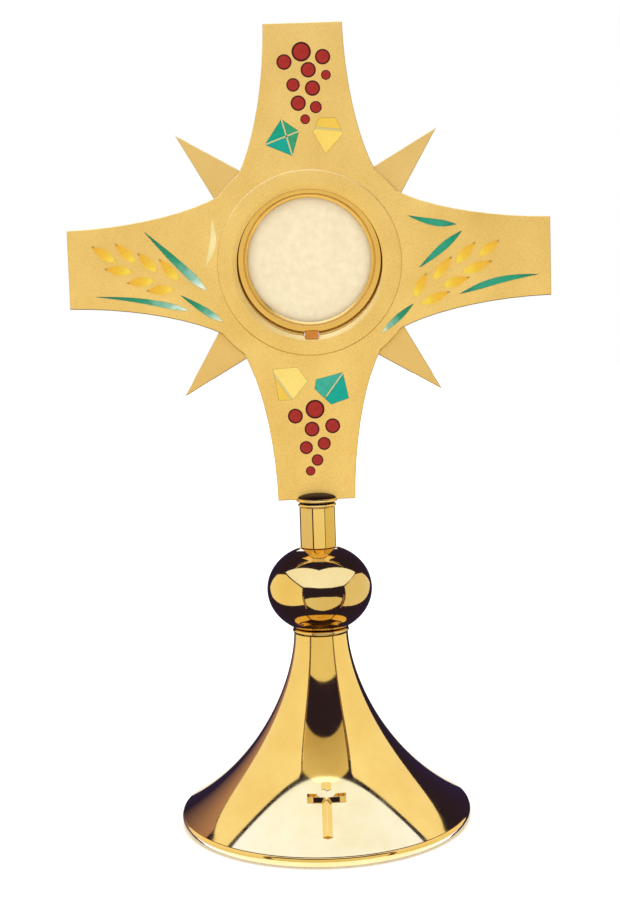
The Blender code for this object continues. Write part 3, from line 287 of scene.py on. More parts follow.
def cast_iron():
    made = Nodes("cast_iron_skin")
    skin = made.noise(700, 5, 0.65)
    rust = made.ramp(made.noise(55, 4, 0.6), (0.55, 0.0), (0.8, 1.0))
    made.set(Base_Color=made.mix(rust, (0.055, 0.055, 0.058), (0.12, 0.06, 0.035)), Metallic=0.6)
    made.set(Roughness=made.ramp(skin, (0.3, 0.55), (0.7, 0.8)))
    made.bump(skin, 0.6, 0.0003)
    return made.material


def felt():
    made = Nodes("green_felt")
    fibres = made.noise(2600, 4, 0.75)
    tufts = made.noise(320, 4, 0.6)
    made.set(Base_Color=made.mix(tufts, (0.012, 0.060, 0.034), (0.035, 0.125, 0.075)), Roughness=0.95)
    made.shader.inputs["Sheen Weight"].default_value = 0.5
    made.shader.inputs["Sheen Roughness"].default_value = 0.5
    made.bump(fibres, 0.8, 0.0004)
    return made.material


def glass(name):
    """A thin flat crystal: clear straight on, with the sky's gloss at a low angle."""
    made = Nodes(name)
    made.set(Base_Color=(0.96, 0.98, 0.97, 1), Roughness=0.03, IOR=1.5, Alpha=0.07)
    haze = made.noise(24, 4, 0.6)
    made.set(Roughness=made.ramp(haze, (0.3, 0.02), (0.8, 0.08)))
    return made.material


def wafer():
    """Pressed bread: a mottled cream with a browner rim and a soft pressed grain."""
    made = Nodes("wafer_bread")
    place = made.place()
    mottle = made.noise(240, 6, 0.7, place)
    crumb = made.noise(1100, 3, 0.6, place)
    rim = made.ramp(made.math("DIVIDE", made.radius(place, 0.0), OPENING_RADIUS), (0.82, 0.0), (1.0, 1.0))
    cream = made.mix(made.ramp(mottle, (0.38, 0.0), (0.62, 1.0)), (0.83, 0.70, 0.43), (0.76, 0.62, 0.36))
    made.set(Base_Color=made.mix(rim, cream, (0.80, 0.60, 0.30)), Roughness=0.85)
    made.shader.inputs["Subsurface Weight"].default_value = 0.05
    made.shader.inputs["Subsurface Scale"].default_value = 0.001
    made.bump(made.mix(0.5, mottle, crumb), 0.25, 0.0003)
    return made.material


def enamel(name, colour, deep, roughness=0.16):
    """Fired glass enamel: one colour with clouding, fine pits and a glossy face."""
    made = Nodes(name)
    cloud = made.ramp(made.noise(420, 4, 0.6), (0.35, 0.0), (0.7, 1.0))
    made.set(Base_Color=made.mix(cloud, colour, deep))
    made.set(Roughness=made.ramp(made.noise(900, 3, 0.6), (0.3, roughness), (0.8, roughness + 0.12)))
    made.shader.inputs["Specular IOR Level"].default_value = 0.3
    made.shader.inputs["Coat Weight"].default_value = 0.15
    made.shader.inputs["Coat Roughness"].default_value = 0.06
    made.bump(made.noise(700, 2, 0.5), 0.08, 0.0002)
    return made


def grape_enamel():
    """A grape's edge is a dark line of painted shade, for the shade at its cell wall, at a fixed share of the
    grape's own box.
    """
    made = enamel("grape_enamel", (0.36, 0.026, 0.017), (0.30, 0.020, 0.014))
    # Painted shade: a near-black ring round the grape's edge.
    edge = made.ramp(made.radius(made.place("Generated"), 0.5), (0.375, 0.0), (0.425, 1.0))
    base = made.shader.inputs["Base Color"].links[0].from_socket
    made.set(Base_Color=made.mix(edge, base, (0.050, 0.008, 0.010)))
    return made.material


def fading_enamel(name, stops, waver=0.35):
    """Enamel that changes along its piece, from its first end to its second."""
    made = enamel(name, (0.5, 0.5, 0.5), (0.4, 0.4, 0.4))
    along = made.add("SeparateXYZ", {"Vector": made.place("Generated")}).outputs["X"]
    wave = made.math("MULTIPLY", made.math("SUBTRACT", made.noise(260, 3, 0.6), 0.5), waver)
    share = made.math("ADD", along, wave)
    cloud = made.ramp(made.noise(500, 3, 0.6), (0.3, 0.90), (0.7, 1.0))
    made.set(Base_Color=made.mix(1.0, made.ramp(share, *stops), cloud, "MULTIPLY"))
    return made.material


def plain_floor():
    made = Nodes("floor_paper")
    tone = made.noise(3, 2, 0.5)
    made.set(Base_Color=made.mix(tone, (0.93, 0.93, 0.925), (0.91, 0.91, 0.905)), Roughness=0.9)
    made.shader.inputs["Specular IOR Level"].default_value = 0.0
    return made.material


def painted_highlight_cream():
    """A gold wall's cut edge between two enamels, painted bright: a pale cream at low metalness is a painted
    highlight.
    """
    made = Nodes("painted_highlight_cream")
    tone = made.noise(900, 3, 0.6)
    made.set(Base_Color=made.mix(tone, (0.74, 0.68, 0.34), (0.66, 0.58, 0.26)), Metallic=0.25)
    made.set(Roughness=made.ramp(tone, (0.3, 0.40), (0.7, 0.60)))
    made.bump(tone, 0.1, 0.0001)
    return made.material


POLISHED_GOLD = polished("polished_gold", GOLD, GOLD_WARM)
RING_GOLD = polished("ring_gold", (0.74, 0.46, 0.125), (0.68, 0.41, 0.10), 0.20)
SATIN_GOLD = satin("satin_gold", SATIN, SATIN_DARK)
RAY_GOLD = satin("ray_gold", (0.80, 0.54, 0.19), (0.72, 0.47, 0.15))
# Painted shade: a near-black gold for the collar's dome and groove, which are only in shade and dark
# reflection.
PAINTED_SHADE_GOLD = brushed("painted_shade_gold", (0.035, 0.014, 0.010), (0.018, 0.008, 0.008), 0.5)
# Painted shade: a dark olive gold on a flat strip, standing for the shade in an engraved line.
ENGRAVED_SHADE_GOLD = brushed("engraved_line_painted_shade", (0.34, 0.22, 0.045), (0.26, 0.16, 0.03), 0.5)
PAINTED_HIGHLIGHT_CREAM = painted_highlight_cream()
BRASS = brushed("plain_brass", (0.62, 0.44, 0.16), (0.52, 0.36, 0.12))
STEEL = brushed("steel", (0.52, 0.52, 0.54), (0.40, 0.40, 0.42))
COPPER = brushed("copper", (0.66, 0.27, 0.055), (0.54, 0.19, 0.04), 0.42)
IRON = cast_iron()
FELT = felt()
GLASS = glass("glass")
WAFER = wafer()
GRAPE = grape_enamel()
ENAMELS = {
    "green": enamel("green_enamel", (0.006, 0.33, 0.20), (0.005, 0.28, 0.17)).material,
    "leaf": enamel("leaf_enamel", (0.040, 0.32, 0.145), (0.025, 0.28, 0.12)).material,
    "turquoise": enamel("turquoise_enamel", (0.008, 0.34, 0.25), (0.006, 0.30, 0.22)).material,
    "turquoise_light": enamel("turquoise_light_enamel", (0.050, 0.385, 0.27), (0.035, 0.34, 0.24)).material,
    "yellow": enamel("yellow_enamel", (0.82, 0.58, 0.12), (0.79, 0.54, 0.10)).material,
    "yellow_deep": enamel("yellow_deep_enamel", (0.77, 0.50, 0.07), (0.73, 0.47, 0.06)).material,
    "yellow_pale": enamel("yellow_pale_enamel", (0.83, 0.63, 0.17), (0.80, 0.59, 0.14)).material,
    "blade": fading_enamel("blade_enamel", (
        (0.0, (0.015, 0.17, 0.07)), (0.5, (0.03, 0.28, 0.14)), (0.78, (0.26, 0.50, 0.37)),
        (0.97, (0.74, 0.80, 0.64)),
    )),
    "blade_green": fading_enamel("blade_green_enamel", (
        (0.0, (0.015, 0.17, 0.08)), (0.3, (0.02, 0.30, 0.155)), (0.7, (0.035, 0.31, 0.18)),
        (1.0, (0.02, 0.20, 0.10)),
    )),
    # Painted highlight: the crescent's cream, lighter in its middle.
    "crescent": fading_enamel("crescent_painted_highlight", (
        (0.0, (0.76, 0.56, 0.20)), (0.4, (0.84, 0.72, 0.34)), (1.0, (0.76, 0.56, 0.20)),
    )),
    "grain": fading_enamel("grain_enamel", (
        (0.0, (0.08, 0.02, 0.01)), (0.07, (0.22, 0.07, 0.01)), (0.14, (0.74, 0.38, 0.03)),
        (0.5, (0.77, 0.45, 0.035)), (0.85, (0.82, 0.58, 0.06)), (1.0, (0.78, 0.48, 0.05)),
    ), 0.10),
}

# ---------------- pieces: helpers


def finished(obj, body, slot, *nodes):
    """obj rides on a body and stands for these nodes, which it hides. Its slot is not used."""
    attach(obj, body)
    if nodes:
        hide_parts(*nodes)
    return obj


def add_object(name, shape, *materials):
    """An object from a bmesh, smooth but for its sharp edges."""
    bmesh.ops.remove_doubles(shape, verts=shape.verts, dist=1e-7)
    bmesh.ops.recalc_face_normals(shape, faces=shape.faces)
    mesh = bpy.data.meshes.new(name)
    shape.to_mesh(mesh)
    shape.free()
    mesh.shade_smooth()
    mesh.set_sharp_from_angle(angle=SHARP)
    for material in materials:
        mesh.materials.append(material)
    made = bpy.data.objects.new(name, mesh)
    bpy.context.scene.collection.objects.link(made)
    return made


def turned(name, profile, material, centre=(0, 0, 0), facing=False, steps=ROUND):
    """A turned ring or solid. The profile is a closed loop of (radius, place along the axis)."""
    shape = bmesh.new()
    loops = []
    for step in range(steps):
        angle = 2 * math.pi * step / steps
        loop = []
        for radius, along in profile:
            across, up = radius * math.cos(angle), radius * math.sin(angle)
            point = (across, along, up) if facing else (across, up, along)
            loop.append(shape.verts.new(point))
        loops.append(loop)
    count = len(profile)
    for step in range(steps):
        one, two = loops[step], loops[(step + 1) % steps]
        for i in range(count):
            j = (i + 1) % count
            shape.faces.new((one[i], one[j], two[j], two[i]))
    bmesh.ops.dissolve_degenerate(shape, dist=1e-7, edges=shape.edges)
    made = add_object(name, shape, material)
    made.location = centre
    return made


def disc(name, profile, material, steps):
    """A turned solid with flat ends that faces -Y. Its profile runs from the back: (radius, Y)."""
    shape = bmesh.new()
    rings = []
    for radius, along in profile:
        angles = [2 * math.pi * step / steps for step in range(steps)]
        rings.append([shape.verts.new((radius * math.cos(a), along, radius * math.sin(a))) for a in angles])
    for one, two in zip(rings, rings[1:]):
        for i in range(steps):
            j = (i + 1) % steps
            shape.faces.new((one[i], one[j], two[j], two[i]))
    shape.faces.new(rings[0])
    shape.faces.new(list(reversed(rings[-1])))
    return add_object(name, shape, material)


def rounded(profile, corners, radius, steps=5):
    """A closed profile with these corners (by index) turned into arcs."""
    out = []
    count = len(profile)
    for i, point in enumerate(profile):
        if i not in corners:
            out.append(point)
            continue
        here = Vector(point)
        before = Vector(profile[i - 1]) - here
        after = Vector(profile[(i + 1) % count]) - here
        size = min(radius, before.length * 0.49, after.length * 0.49)
        start = here + before.normalized() * size
        end = here + after.normalized() * size
        for step in range(steps + 1):
            share = step / steps
            point = start.lerp(here, share).lerp(here.lerp(end, share), share)
            out.append(tuple(point))
    return out


def arc(centre, radius, start, end, steps):
    """Points round a circle, angles in degrees."""
    angles = [math.radians(start + (end - start) * i / steps) for i in range(steps + 1)]
    return [(centre[0] + radius * math.cos(a), centre[1] + radius * math.sin(a)) for a in angles]


def leaf_shape(start, end, widest, width, bow, grown=0.0, steps=14):
    """The outline of a pointed blade in its own frame: X along it, from its first end."""
    length = (Vector(end) - Vector(start)).length
    sides = ([], [])
    for i in range(1, 2 * steps):
        share = i / (2 * steps)
        if share < widest:
            fullness = math.sin(share / widest * math.pi / 2)
        else:
            fullness = math.sin((1 - share) / (1 - widest) * math.pi / 2)
        spine = bow * math.sin(math.pi * share)
        half = fullness * width / 2 + grown
        sides[0].append((share * length, spine + half))
        sides[1].append((share * length, spine - half))
    return [(-grown, 0), *sides[0], (length + grown, 0), *reversed(sides[1])]


def prism(shape, outline, front, back, index=0, dish=0.00022):
    """Adds a flat solid whose outline lies in X and Z. Its face is dished, as enamel sinks in its cell."""
    loops = []
    middle = sum((Vector(p) for p in outline), Vector((0, 0))) / len(outline)
    for share, y in (
        (0.0, back + 0.6 * dish), (0.0, front), (0.35, front + 0.35 * dish), (1.0, front + 0.6 * dish)
    ):
        loop = []
        for point in outline:
            inward = middle - Vector(point)
            moved = Vector(point) + inward.normalized() * min(dish * share, inward.length * 0.4)
            loop.append(shape.verts.new((moved.x, y, moved.y)))
        loops.append(loop)
    count = len(outline)
    for one, two in zip(loops, loops[1:]):
        for i in range(count):
            j = (i + 1) % count
            shape.faces.new((one[i], one[j], two[j], two[i])).material_index = index
    shape.faces.new(loops[0]).material_index = index
    shape.faces.new(list(reversed(loops[-1]))).material_index = index


def clipped(polygon, start, end, side, gap):
    """The part of a convex polygon on one side of a line, kept gap away from it."""
    along = (Vector(end) - Vector(start)).normalized()
    normal = Vector((-along.y, along.x)) * side

    def depth(point):
        return (Vector(point) - Vector(start)).dot(normal) - gap

    kept = []
    for i, here in enumerate(polygon):
        there = polygon[(i + 1) % len(polygon)]
        one, two = depth(here), depth(there)
        if one >= 0:
            kept.append(here)
        if one * two < 0:
            kept.append(tuple(Vector(here).lerp(Vector(there), one / (one - two))))
    return kept


def edges(polygon):
    return list(zip(polygon, (*polygon[1:], polygon[0])))


def turn_of(polygon):
    """1 for a polygon that goes round anticlockwise, or -1."""
    return math.copysign(1, sum(a[0] * b[1] - b[0] * a[1] for a, b in edges(polygon)))


def kept_inside(outline, polygon, gap):
    """The part of a convex outline inside a convex polygon, kept gap away from its sides."""
    for a, b in edges(polygon):
        outline = clipped(outline, a, b, turn_of(polygon), gap)
    return outline


def laid(obj, start, end):
    """Lays a shape drawn along X from start to end, both from the middle of the window."""
    along = Vector(end) - Vector(start)
    obj.location = (start[0], 0, WINDOW.z + start[1])
    obj.rotation_euler = (0, -math.atan2(along.y, along.x), 0)


# ---------------- foot


def bell_point(share):
    """The bell's outside at a share of its curve: (radius, height), neck to rim."""
    height = SHELL_TOP - SHELL_BOTTOM
    reach = SHELL_RADIUS - NECK_RADIUS
    one = Vector((NECK_RADIUS, SHELL_TOP))
    two = Vector((NECK_RADIUS + 0.008 * reach, SHELL_BOTTOM + 0.78 * height))
    three = Vector((NECK_RADIUS + 0.24 * reach, SHELL_BOTTOM + 0.30 * height))
    four = Vector((SHELL_RADIUS, SHELL_BOTTOM))
    rest = 1 - share
    return (
        one * rest ** 3 + two * 3 * rest ** 2 * share + three * 3 * rest * share ** 2 + four * share ** 3
    )


def bell_frame(share):
    """(point, outward normal, along) on the bell's curve."""
    along = (bell_point(min(share + 0.002, 1)) - bell_point(max(share - 0.002, 0))).normalized()
    return bell_point(share), Vector((-along.y, along.x)), along


def make_foot():
    count = 90
    outside = [tuple(bell_point(i / count)) for i in range(count + 1)]
    inside = []
    for i in range(count + 1):
        point, normal, _ = bell_frame(i / count)
        inner = point - normal * SHELL_WALL
        inside.append((inner.x, min(max(inner.y, SHELL_BOTTOM), SHELL_TOP)))
    shell = turned("foot_shell_fine", outside + list(reversed(inside)), POLISHED_GOLD)
    finished(shell, "root", "polished_gold", "foot_shell")

    bottom, top = low("foot_rim_ring").z, high("foot_rim_ring").z
    inner = FOOT_RADIUS - RIM_WIDTH
    profile = [
        (inner, top), (FOOT_RADIUS - 0.0006, top), (FOOT_RADIUS, top - 0.0009), (FOOT_RADIUS, top - 0.0026),
        (FOOT_RADIUS - 0.0016, bottom + 0.0004), (FOOT_RADIUS - 0.0022, bottom), (inner, bottom),
    ]
    rim = turned("foot_rim_fine", rounded(profile, (1, 2, 3, 4, 5), 0.0008), POLISHED_GOLD)
    finished(rim, "root", "polished_gold", "foot_rim_ring")


def make_emblem():
    """A plain Latin cross in relief, laid over the bell's curve."""
    box_low, box_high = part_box("base_emblem")
    arm = (box_high[0] - box_low[0]) / 2
    bar, top = EMBLEM_BAR / 2, EMBLEM_HALF_HEIGHT
    cross_at = 0.22 * 2 * top
    columns = sorted({-arm, -arm * 0.7, -bar, 0.0, bar, arm * 0.7, arm})
    rows = [-top, -0.75 * top, -0.5 * top, -0.25 * top, 0.0]
    rows += [cross_at - bar, cross_at, cross_at + bar, 0.85 * top, top]
    length = 0.0
    shares = [0.0]
    steps = 400
    for i in range(steps):
        length += (bell_point((i + 1) / steps) - bell_point(i / steps)).length
        shares.append(length)
    centre = shares[round(EMBLEM_SHARE * steps)]

    def place(across, up, rise):
        target = centre - up
        index = min(range(steps + 1), key=lambda i: abs(shares[i] - target))
        point, normal, _ = bell_frame(index / steps)
        point = point + normal * rise
        angle = across / point.x
        return (point.x * math.sin(angle), -point.x * math.cos(angle), point.y)

    shape = bmesh.new()
    flat = {}

    def vert(u, v):
        if (u, v) not in flat:
            flat[u, v] = shape.verts.new((u, v, 0))
        return flat[u, v]

    for left, right in zip(columns, columns[1:]):
        for down, up in zip(rows, rows[1:]):
            in_post = abs(left + right) / 2 < bar
            in_bar = cross_at - bar - 1e-6 <= down and up <= cross_at + bar + 1e-6
            if in_post or in_bar:
                shape.faces.new((vert(left, down), vert(right, down), vert(right, up), vert(left, up)))
    grown = bmesh.ops.extrude_face_region(shape, geom=list(shape.faces))
    for item in grown["geom"]:
        if isinstance(item, bmesh.types.BMVert):
            item.co.z = 1.0
    for item in shape.verts:
        on_ridge = abs(item.co.x) < 1e-6 or abs(item.co.y - cross_at) < 1e-6
        ridge = EMBLEM_RELIEF * (1.0 if on_ridge else 0.2)
        item.co = place(item.co.x, item.co.y, GAP / 3 if item.co.z < 0.5 else ridge)
    made = add_object("base_emblem_fine", shape, POLISHED_GOLD)
    round_over = made.modifiers.new("round_over", "BEVEL")
    round_over.width = 0.0003
    round_over.segments = 3
    round_over.limit_method = "ANGLE"
    round_over.angle_limit = math.radians(50)
    finished(made, "root", "polished_gold", "base_emblem")


# ---------------- knop, stem and collar


def make_neck_ring():
    bottom, top = low("neck_ring").z, high("neck_ring").z
    outer = high("neck_ring").x
    middle = (bottom + top) / 2
    half = (top - bottom) / 2
    profile = arc((outer - half, middle), half, -90, 90, 10) + [(0.004, top), (0.004, bottom)]
    finished(turned("neck_ring_fine", profile, POLISHED_GOLD), "root", "polished_gold", "neck_ring")


def make_knop():
    top_radius = STEM_RADIUS + 0.0002
    first = math.acos(top_radius / KNOP_RADIUS)
    last = -math.acos(KNOP_BOTTOM_RADIUS / KNOP_RADIUS)
    count = 72

    def skin(wall):
        angles = [first + (last - first) * i / count for i in range(count + 1)]
        return [
            ((KNOP_RADIUS - wall) * math.cos(a), KNOP_Z + (KNOP_HALF_HEIGHT - wall) * math.sin(a))
            for a in angles
        ]

    inside = skin(KNOP_WALL)
    profile = skin(0) + [(KNOP_HOLE, KNOP_BOTTOM), (KNOP_HOLE, inside[-1][1])] + list(reversed(inside))
    profile += [(KNOP_HOLE, inside[0][1]), (KNOP_HOLE, KNOP_TOP)]
    finished(turned("knop_fine", profile, POLISHED_GOLD), "root", "polished_gold", "knop")


def make_stem():
    bottom, top = low("stem_tube").z, high("stem_tube").z
    edge = 0.0003
    profile = [
        (STEM_RADIUS - edge, top), (STEM_RADIUS, top - edge), (STEM_RADIUS, bottom + edge),
        (STEM_RADIUS - edge, bottom), (STEM_BORE, bottom), (STEM_BORE, top),
    ]
    finished(turned("stem_tube_fine", profile, POLISHED_GOLD), "root", "polished_gold", "stem_tube")


def make_collar():
    """Two bright lips with a groove between them, under a dome. The dome and the groove are painted shade: a
    near-black gold stands for their shade and dark reflection.
    """
    bottom, top = high("stem_tube").z + GAP, high("collar").z
    tail = low("collar").z
    radius = COLLAR_RADIUS + 0.0002
    rim = top - DOME_RISE
    lip = COLLAR_LIP
    angles = [math.radians(6 * i) for i in range(1, 16)]
    profile = [(DOME_RADIUS * math.sin(a), rim + DOME_RISE * math.cos(a)) for a in angles]
    dome = profile[-1]
    profile.insert(0, (0.0005, top))
    profile += arc((radius - lip, rim - lip), lip, 90, -90, 8)
    profile += [(radius - GROOVE_DEPTH, rim - 2.1 * lip), (radius - GROOVE_DEPTH, bottom + 2.0 * lip)]
    profile += arc((radius - 0.0008 - lip * 0.9, bottom + lip * 0.9), lip * 0.9, 90, -90, 8)
    profile += [
        (STEM_RADIUS - 0.0018, bottom), (STEM_RADIUS - 0.0018, tail), (0.0034, tail), (0.0034, tail + 0.0104),
        (0.0005, tail + 0.0106),
    ]
    collar = turned("collar_fine", profile, POLISHED_GOLD)
    # Painted shade: the dome's and the groove's faces take the near-black gold.
    collar.data.materials.append(PAINTED_SHADE_GOLD)
    for face in collar.data.polygons:
        middle = face.center
        if middle.z > dome[1] + 0.00002 and middle.xy.length < dome[0]:
            face.material_index = 1
        elif bottom + 1.9 * lip < middle.z < rim - 1.95 * lip and middle.xy.length > 0.009:
            face.material_index = 1
    finished(collar, "root", "polished_gold", "collar")


for maker in (make_foot, make_emblem, make_neck_ring, make_knop, make_stem, make_collar):
    maker()


# ---------------- cross head


def make_bezel():
    """Its lip reaches in over the play round the luna, and its rim closes the plate's recess."""
    front, back = low("bezel_ring").y, high("bezel_ring").y
    lip = LUNA_RADIUS + 0.0004
    outer = BEZEL_RADIUS + GAP
    profile = [
        (outer - 0.0005, front), (outer, front + 0.0005), (outer, back),
        (lip, back), (lip, front + 0.0009), (lip + 0.0026, front),
    ]
    profile = rounded(profile, (0, 1, 4, 5), 0.0003)
    ring = turned("bezel_ring_fine", profile, SATIN_GOLD, (0, 0, WINDOW.z), True)
    finished(ring, "root", "satin_gold", "bezel_ring")


def make_grapes():
    for name in sorted(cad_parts):
        if not name.startswith("grape_"):
            continue
        one, two = low(name), high(name)
        radius = (two.x - one.x) / 2 + GRAPE_SHADE_RIM
        rise = 0.00022
        dome = [(radius, CELL_BACK), (radius, ENAMEL_FRONT + rise)]
        dome += [
            (radius - rise * (1 - math.cos(a)), ENAMEL_FRONT + rise - rise * math.sin(a))
            for a in (math.radians(15 * i) for i in range(1, 7))
        ]
        dome += [(radius * 0.6, ENAMEL_FRONT - 0.00004), (radius * 0.25, ENAMEL_FRONT - 0.00007)]
        made = disc(name + "_fine", dome, GRAPE, 48)
        middle = (one + two) / 2
        made.location = (middle.x, 0, middle.z)
        finished(made, "root", "grape_enamel", name)


def make_leaves():
    slots = {"green": "green_enamel", "turquoise": "turquoise_enamel", "yellow": "yellow_enamel"}
    for name, (corners, veins, finishes) in LEAVES.items():
        cell = kept_inside(corners, corners, GAP / 3)
        facets = [cell]
        for start, end in veins:
            facets = [clipped(f, start, end, side, VEIN / 2) for f in facets for side in (1, -1)]
        shape = bmesh.new()
        for index, facet in enumerate(facets):
            prism(shape, facet, ENAMEL_FRONT, CELL_BACK, index)
        for start, end in veins:
            # The vein is a strip of gold that stands in the cell between its facets, coloured with the same
            # cream as the painted-highlight edges.
            start, end = Vector(start), Vector(end)
            along = (end - start).normalized()
            side = Vector((-along.y, along.x)) * (VEIN / 2 - 0.00002)
            strip = kept_inside([start + side, end + side, end - side, start - side], cell, 0)
            prism(shape, strip, ENAMEL_FRONT - 0.00006, CELL_BACK, len(facets), 0.00008)
        materials = [ENAMELS[finish] for finish in finishes] + [PAINTED_HIGHLIGHT_CREAM]
        made = add_object(name + "_fine", shape, *materials)
        made.location = (0, 0, WINDOW.z)
        finished(made, "root", slots[name.split("_")[-1]], name)


def make_blade(name, start, end, widest, width, bow, finish, slot, rim=0.0):
    """A blade of enamel, with a cut edge of the plate round it when it has a rim, painted cream as a
    highlight.
    """
    shape = bmesh.new()
    prism(shape, leaf_shape(start, end, widest, width, bow), ENAMEL_FRONT - rim, CELL_BACK)
    if rim:
        edge = leaf_shape(start, end, widest, width, bow - rim / 2, rim)
        prism(shape, edge, FRONT - 0.00006, CELL_BACK, 1, 0.00005)
    made = add_object(name, shape, ENAMELS[finish], PAINTED_HIGHLIGHT_CREAM)
    laid(made, start, end)
    finished(made, "root", slot)


def make_wheat():
    for index, (tip, butt) in enumerate(GRAINS):
        spare = (Vector(tip) - Vector(butt)).normalized() * 0.0006
        tip, butt = tuple(Vector(tip) + spare), tuple(Vector(butt) - spare)
        name = "wheat_grain_%d" % (index + 1)
        make_blade(name, tip, butt, GRAIN_WIDEST, GRAIN_WIDTH, 0, "grain", "yellow_enamel")
    for name, blade in BLADES.items():
        # The crescent, a painted highlight, gets no cut edge.
        yellow = name.startswith("crescent")
        make_blade(name, *blade, "yellow_enamel" if yellow else "green_enamel", 0.0 if yellow else 0.00022)
    # The stalk is a flat strip flush with the plate, coloured dark as painted shade of an engraved cut.
    start, end = STALK
    shape = bmesh.new()
    prism(shape, leaf_shape(start, end, 0.5, 0.0005, 0.0006), FRONT, CELL_BACK - 0.0004, 0, 0.00004)
    stalk = add_object("engraved_stalk_painted_shade", shape, ENGRAVED_SHADE_GOLD)
    laid(stalk, start, end)
    finished(stalk, "root", "satin_gold")


def make_luna():
    centre = (0, 0, LUNA.z)
    front = low("luna_front_ring").y
    edge, depth = 0.0005, 0.0050
    inner = OPENING_RADIUS - 0.0021
    shell = [
        (LUNA_RADIUS - edge, front), (LUNA_RADIUS, front + edge), (LUNA_RADIUS, front + depth),
        (OPENING_RADIUS + 0.0020, front + depth), (OPENING_RADIUS + 0.0020, front + 0.0013),
        (inner, front + 0.0013), (inner, front + 0.0010), (OPENING_RADIUS - 0.0005, front + 0.0004),
        (OPENING_RADIUS - 0.0003, front + 0.0009), (OPENING_RADIUS + 0.0001, front + 0.0009),
        (OPENING_RADIUS + 0.0003, front),
    ]
    shell = rounded(shell, (0, 1, 5, 6, 7, 10), 0.0003)
    bead = turned("luna_front_bead", [(r, y - 0.00005) for r, y in shell], RING_GOLD, centre, True)
    finished(bead, "luna", "polished_gold")

    one, two = low("host_wafer"), high("host_wafer")
    radius, edge = (two.x - one.x) / 2, 0.0002
    profile = [
        (radius - edge, two.y), (radius, two.y - edge), (radius, one.y + edge), (radius - edge, one.y),
        (radius - 0.0016, one.y + 0.00012), (radius * 0.7, one.y + 0.00010), (radius * 0.35, one.y + 0.00010),
    ]
    host = disc("host_wafer_fine", profile, WAFER, 96)
    host.location = centre
    finished(host, "luna", "wafer", "host_wafer")


def make_clasp():
    """A copper tab on the bezel, in front of the tongue's end."""
    one, two = low("clasp_tongue"), high("clasp_tongue")
    half = Vector((two.x, 0.00215))
    corner = 0.0009
    outline = []
    for x, z, start in ((1, 1, 0), (-1, 1, 90), (-1, -1, 180), (1, -1, 270)):
        centre = (x * (half.x - corner), z * (half.y - corner))
        outline += arc(centre, corner, start, start + 90, 6)
    front = low("bezel_ring").y - 0.0006
    shape = bmesh.new()
    prism(shape, outline, front, one.y + 0.0002, 0, 0.0006)
    tab = add_object("clasp_tab", shape, COPPER)
    tab.location = (0, 0, two.z - half.y + 0.0004)
    finished(tab, "root", "copper")


for maker in (make_bezel, make_grapes, make_leaves, make_wheat, make_luna, make_clasp):
    maker()

# ---------------- carried-over nodes

NODE_MATERIALS = {
    "felt_pad": FELT, "base_cover": BRASS, "ballast_weight": IRON, "tie_rod": STEEL, "tie_rod_nut": STEEL,
    "tie_rod_washer": STEEL, "plate_screw_left": STEEL, "plate_screw_right": STEEL, "luna_hinge_pin": STEEL,
    "neck_bushing": BRASS, "knop_sleeve": BRASS, "stem_bush": BRASS, "lunette_clip": BRASS,
    "spring_clip_left": BRASS, "spring_clip_right": BRASS,
    "cross_plate": SATIN_GOLD, "luna_housing": SATIN_GOLD, "luna_front_ring": RING_GOLD,
    "luna_back_ring": RING_GOLD, "front_crystal": GLASS, "back_crystal": GLASS, "clasp_tongue": COPPER,
    "ray_upper_left": RAY_GOLD, "ray_upper_right": RAY_GOLD, "ray_lower_left": RAY_GOLD,
    "ray_lower_right": RAY_GOLD,
}
for name, material in NODE_MATERIALS.items():
    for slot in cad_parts[name].material_slots:
        slot.material = material

# ---------------- floor, light and camera


def make_floor():
    shape = bmesh.new()
    size = 6.0
    corners = ((-size, -size), (size, -size), (size, size), (-size, size))
    shape.faces.new([shape.verts.new((x, y, 0)) for x, y in corners])
    floor = add_object("floor", shape, plain_floor())
    # The polished gold reflects the soft boxes only, as it would on a raised stand.
    floor.visible_glossy = False
    floor.visible_shadow = False
    return floor


def receivers(name, objects):
    """A collection of the pieces that one set of lights falls on."""
    made = bpy.data.collections.new(name)
    for obj in objects:
        made.objects.link(obj)
    return made


def toward(azimuth, elevation):
    """A direction in degrees: azimuth 0 is the front and 90 is +X."""
    azimuth, elevation = math.radians(azimuth), math.radians(elevation)
    level = math.cos(elevation)
    return Vector((math.sin(azimuth) * level, -math.cos(azimuth) * level, math.sin(elevation)))


def axes(facing):
    """(outward, upward, sideways) of a flat box that stands in this direction."""
    outward = toward(*facing)
    upward = Vector((0, 0, 1)) if abs(outward.z) < 0.9 else Vector((0, 1, 0))
    return outward, upward, upward.cross(outward)


def slope(angle):
    return math.tan(math.radians(angle))


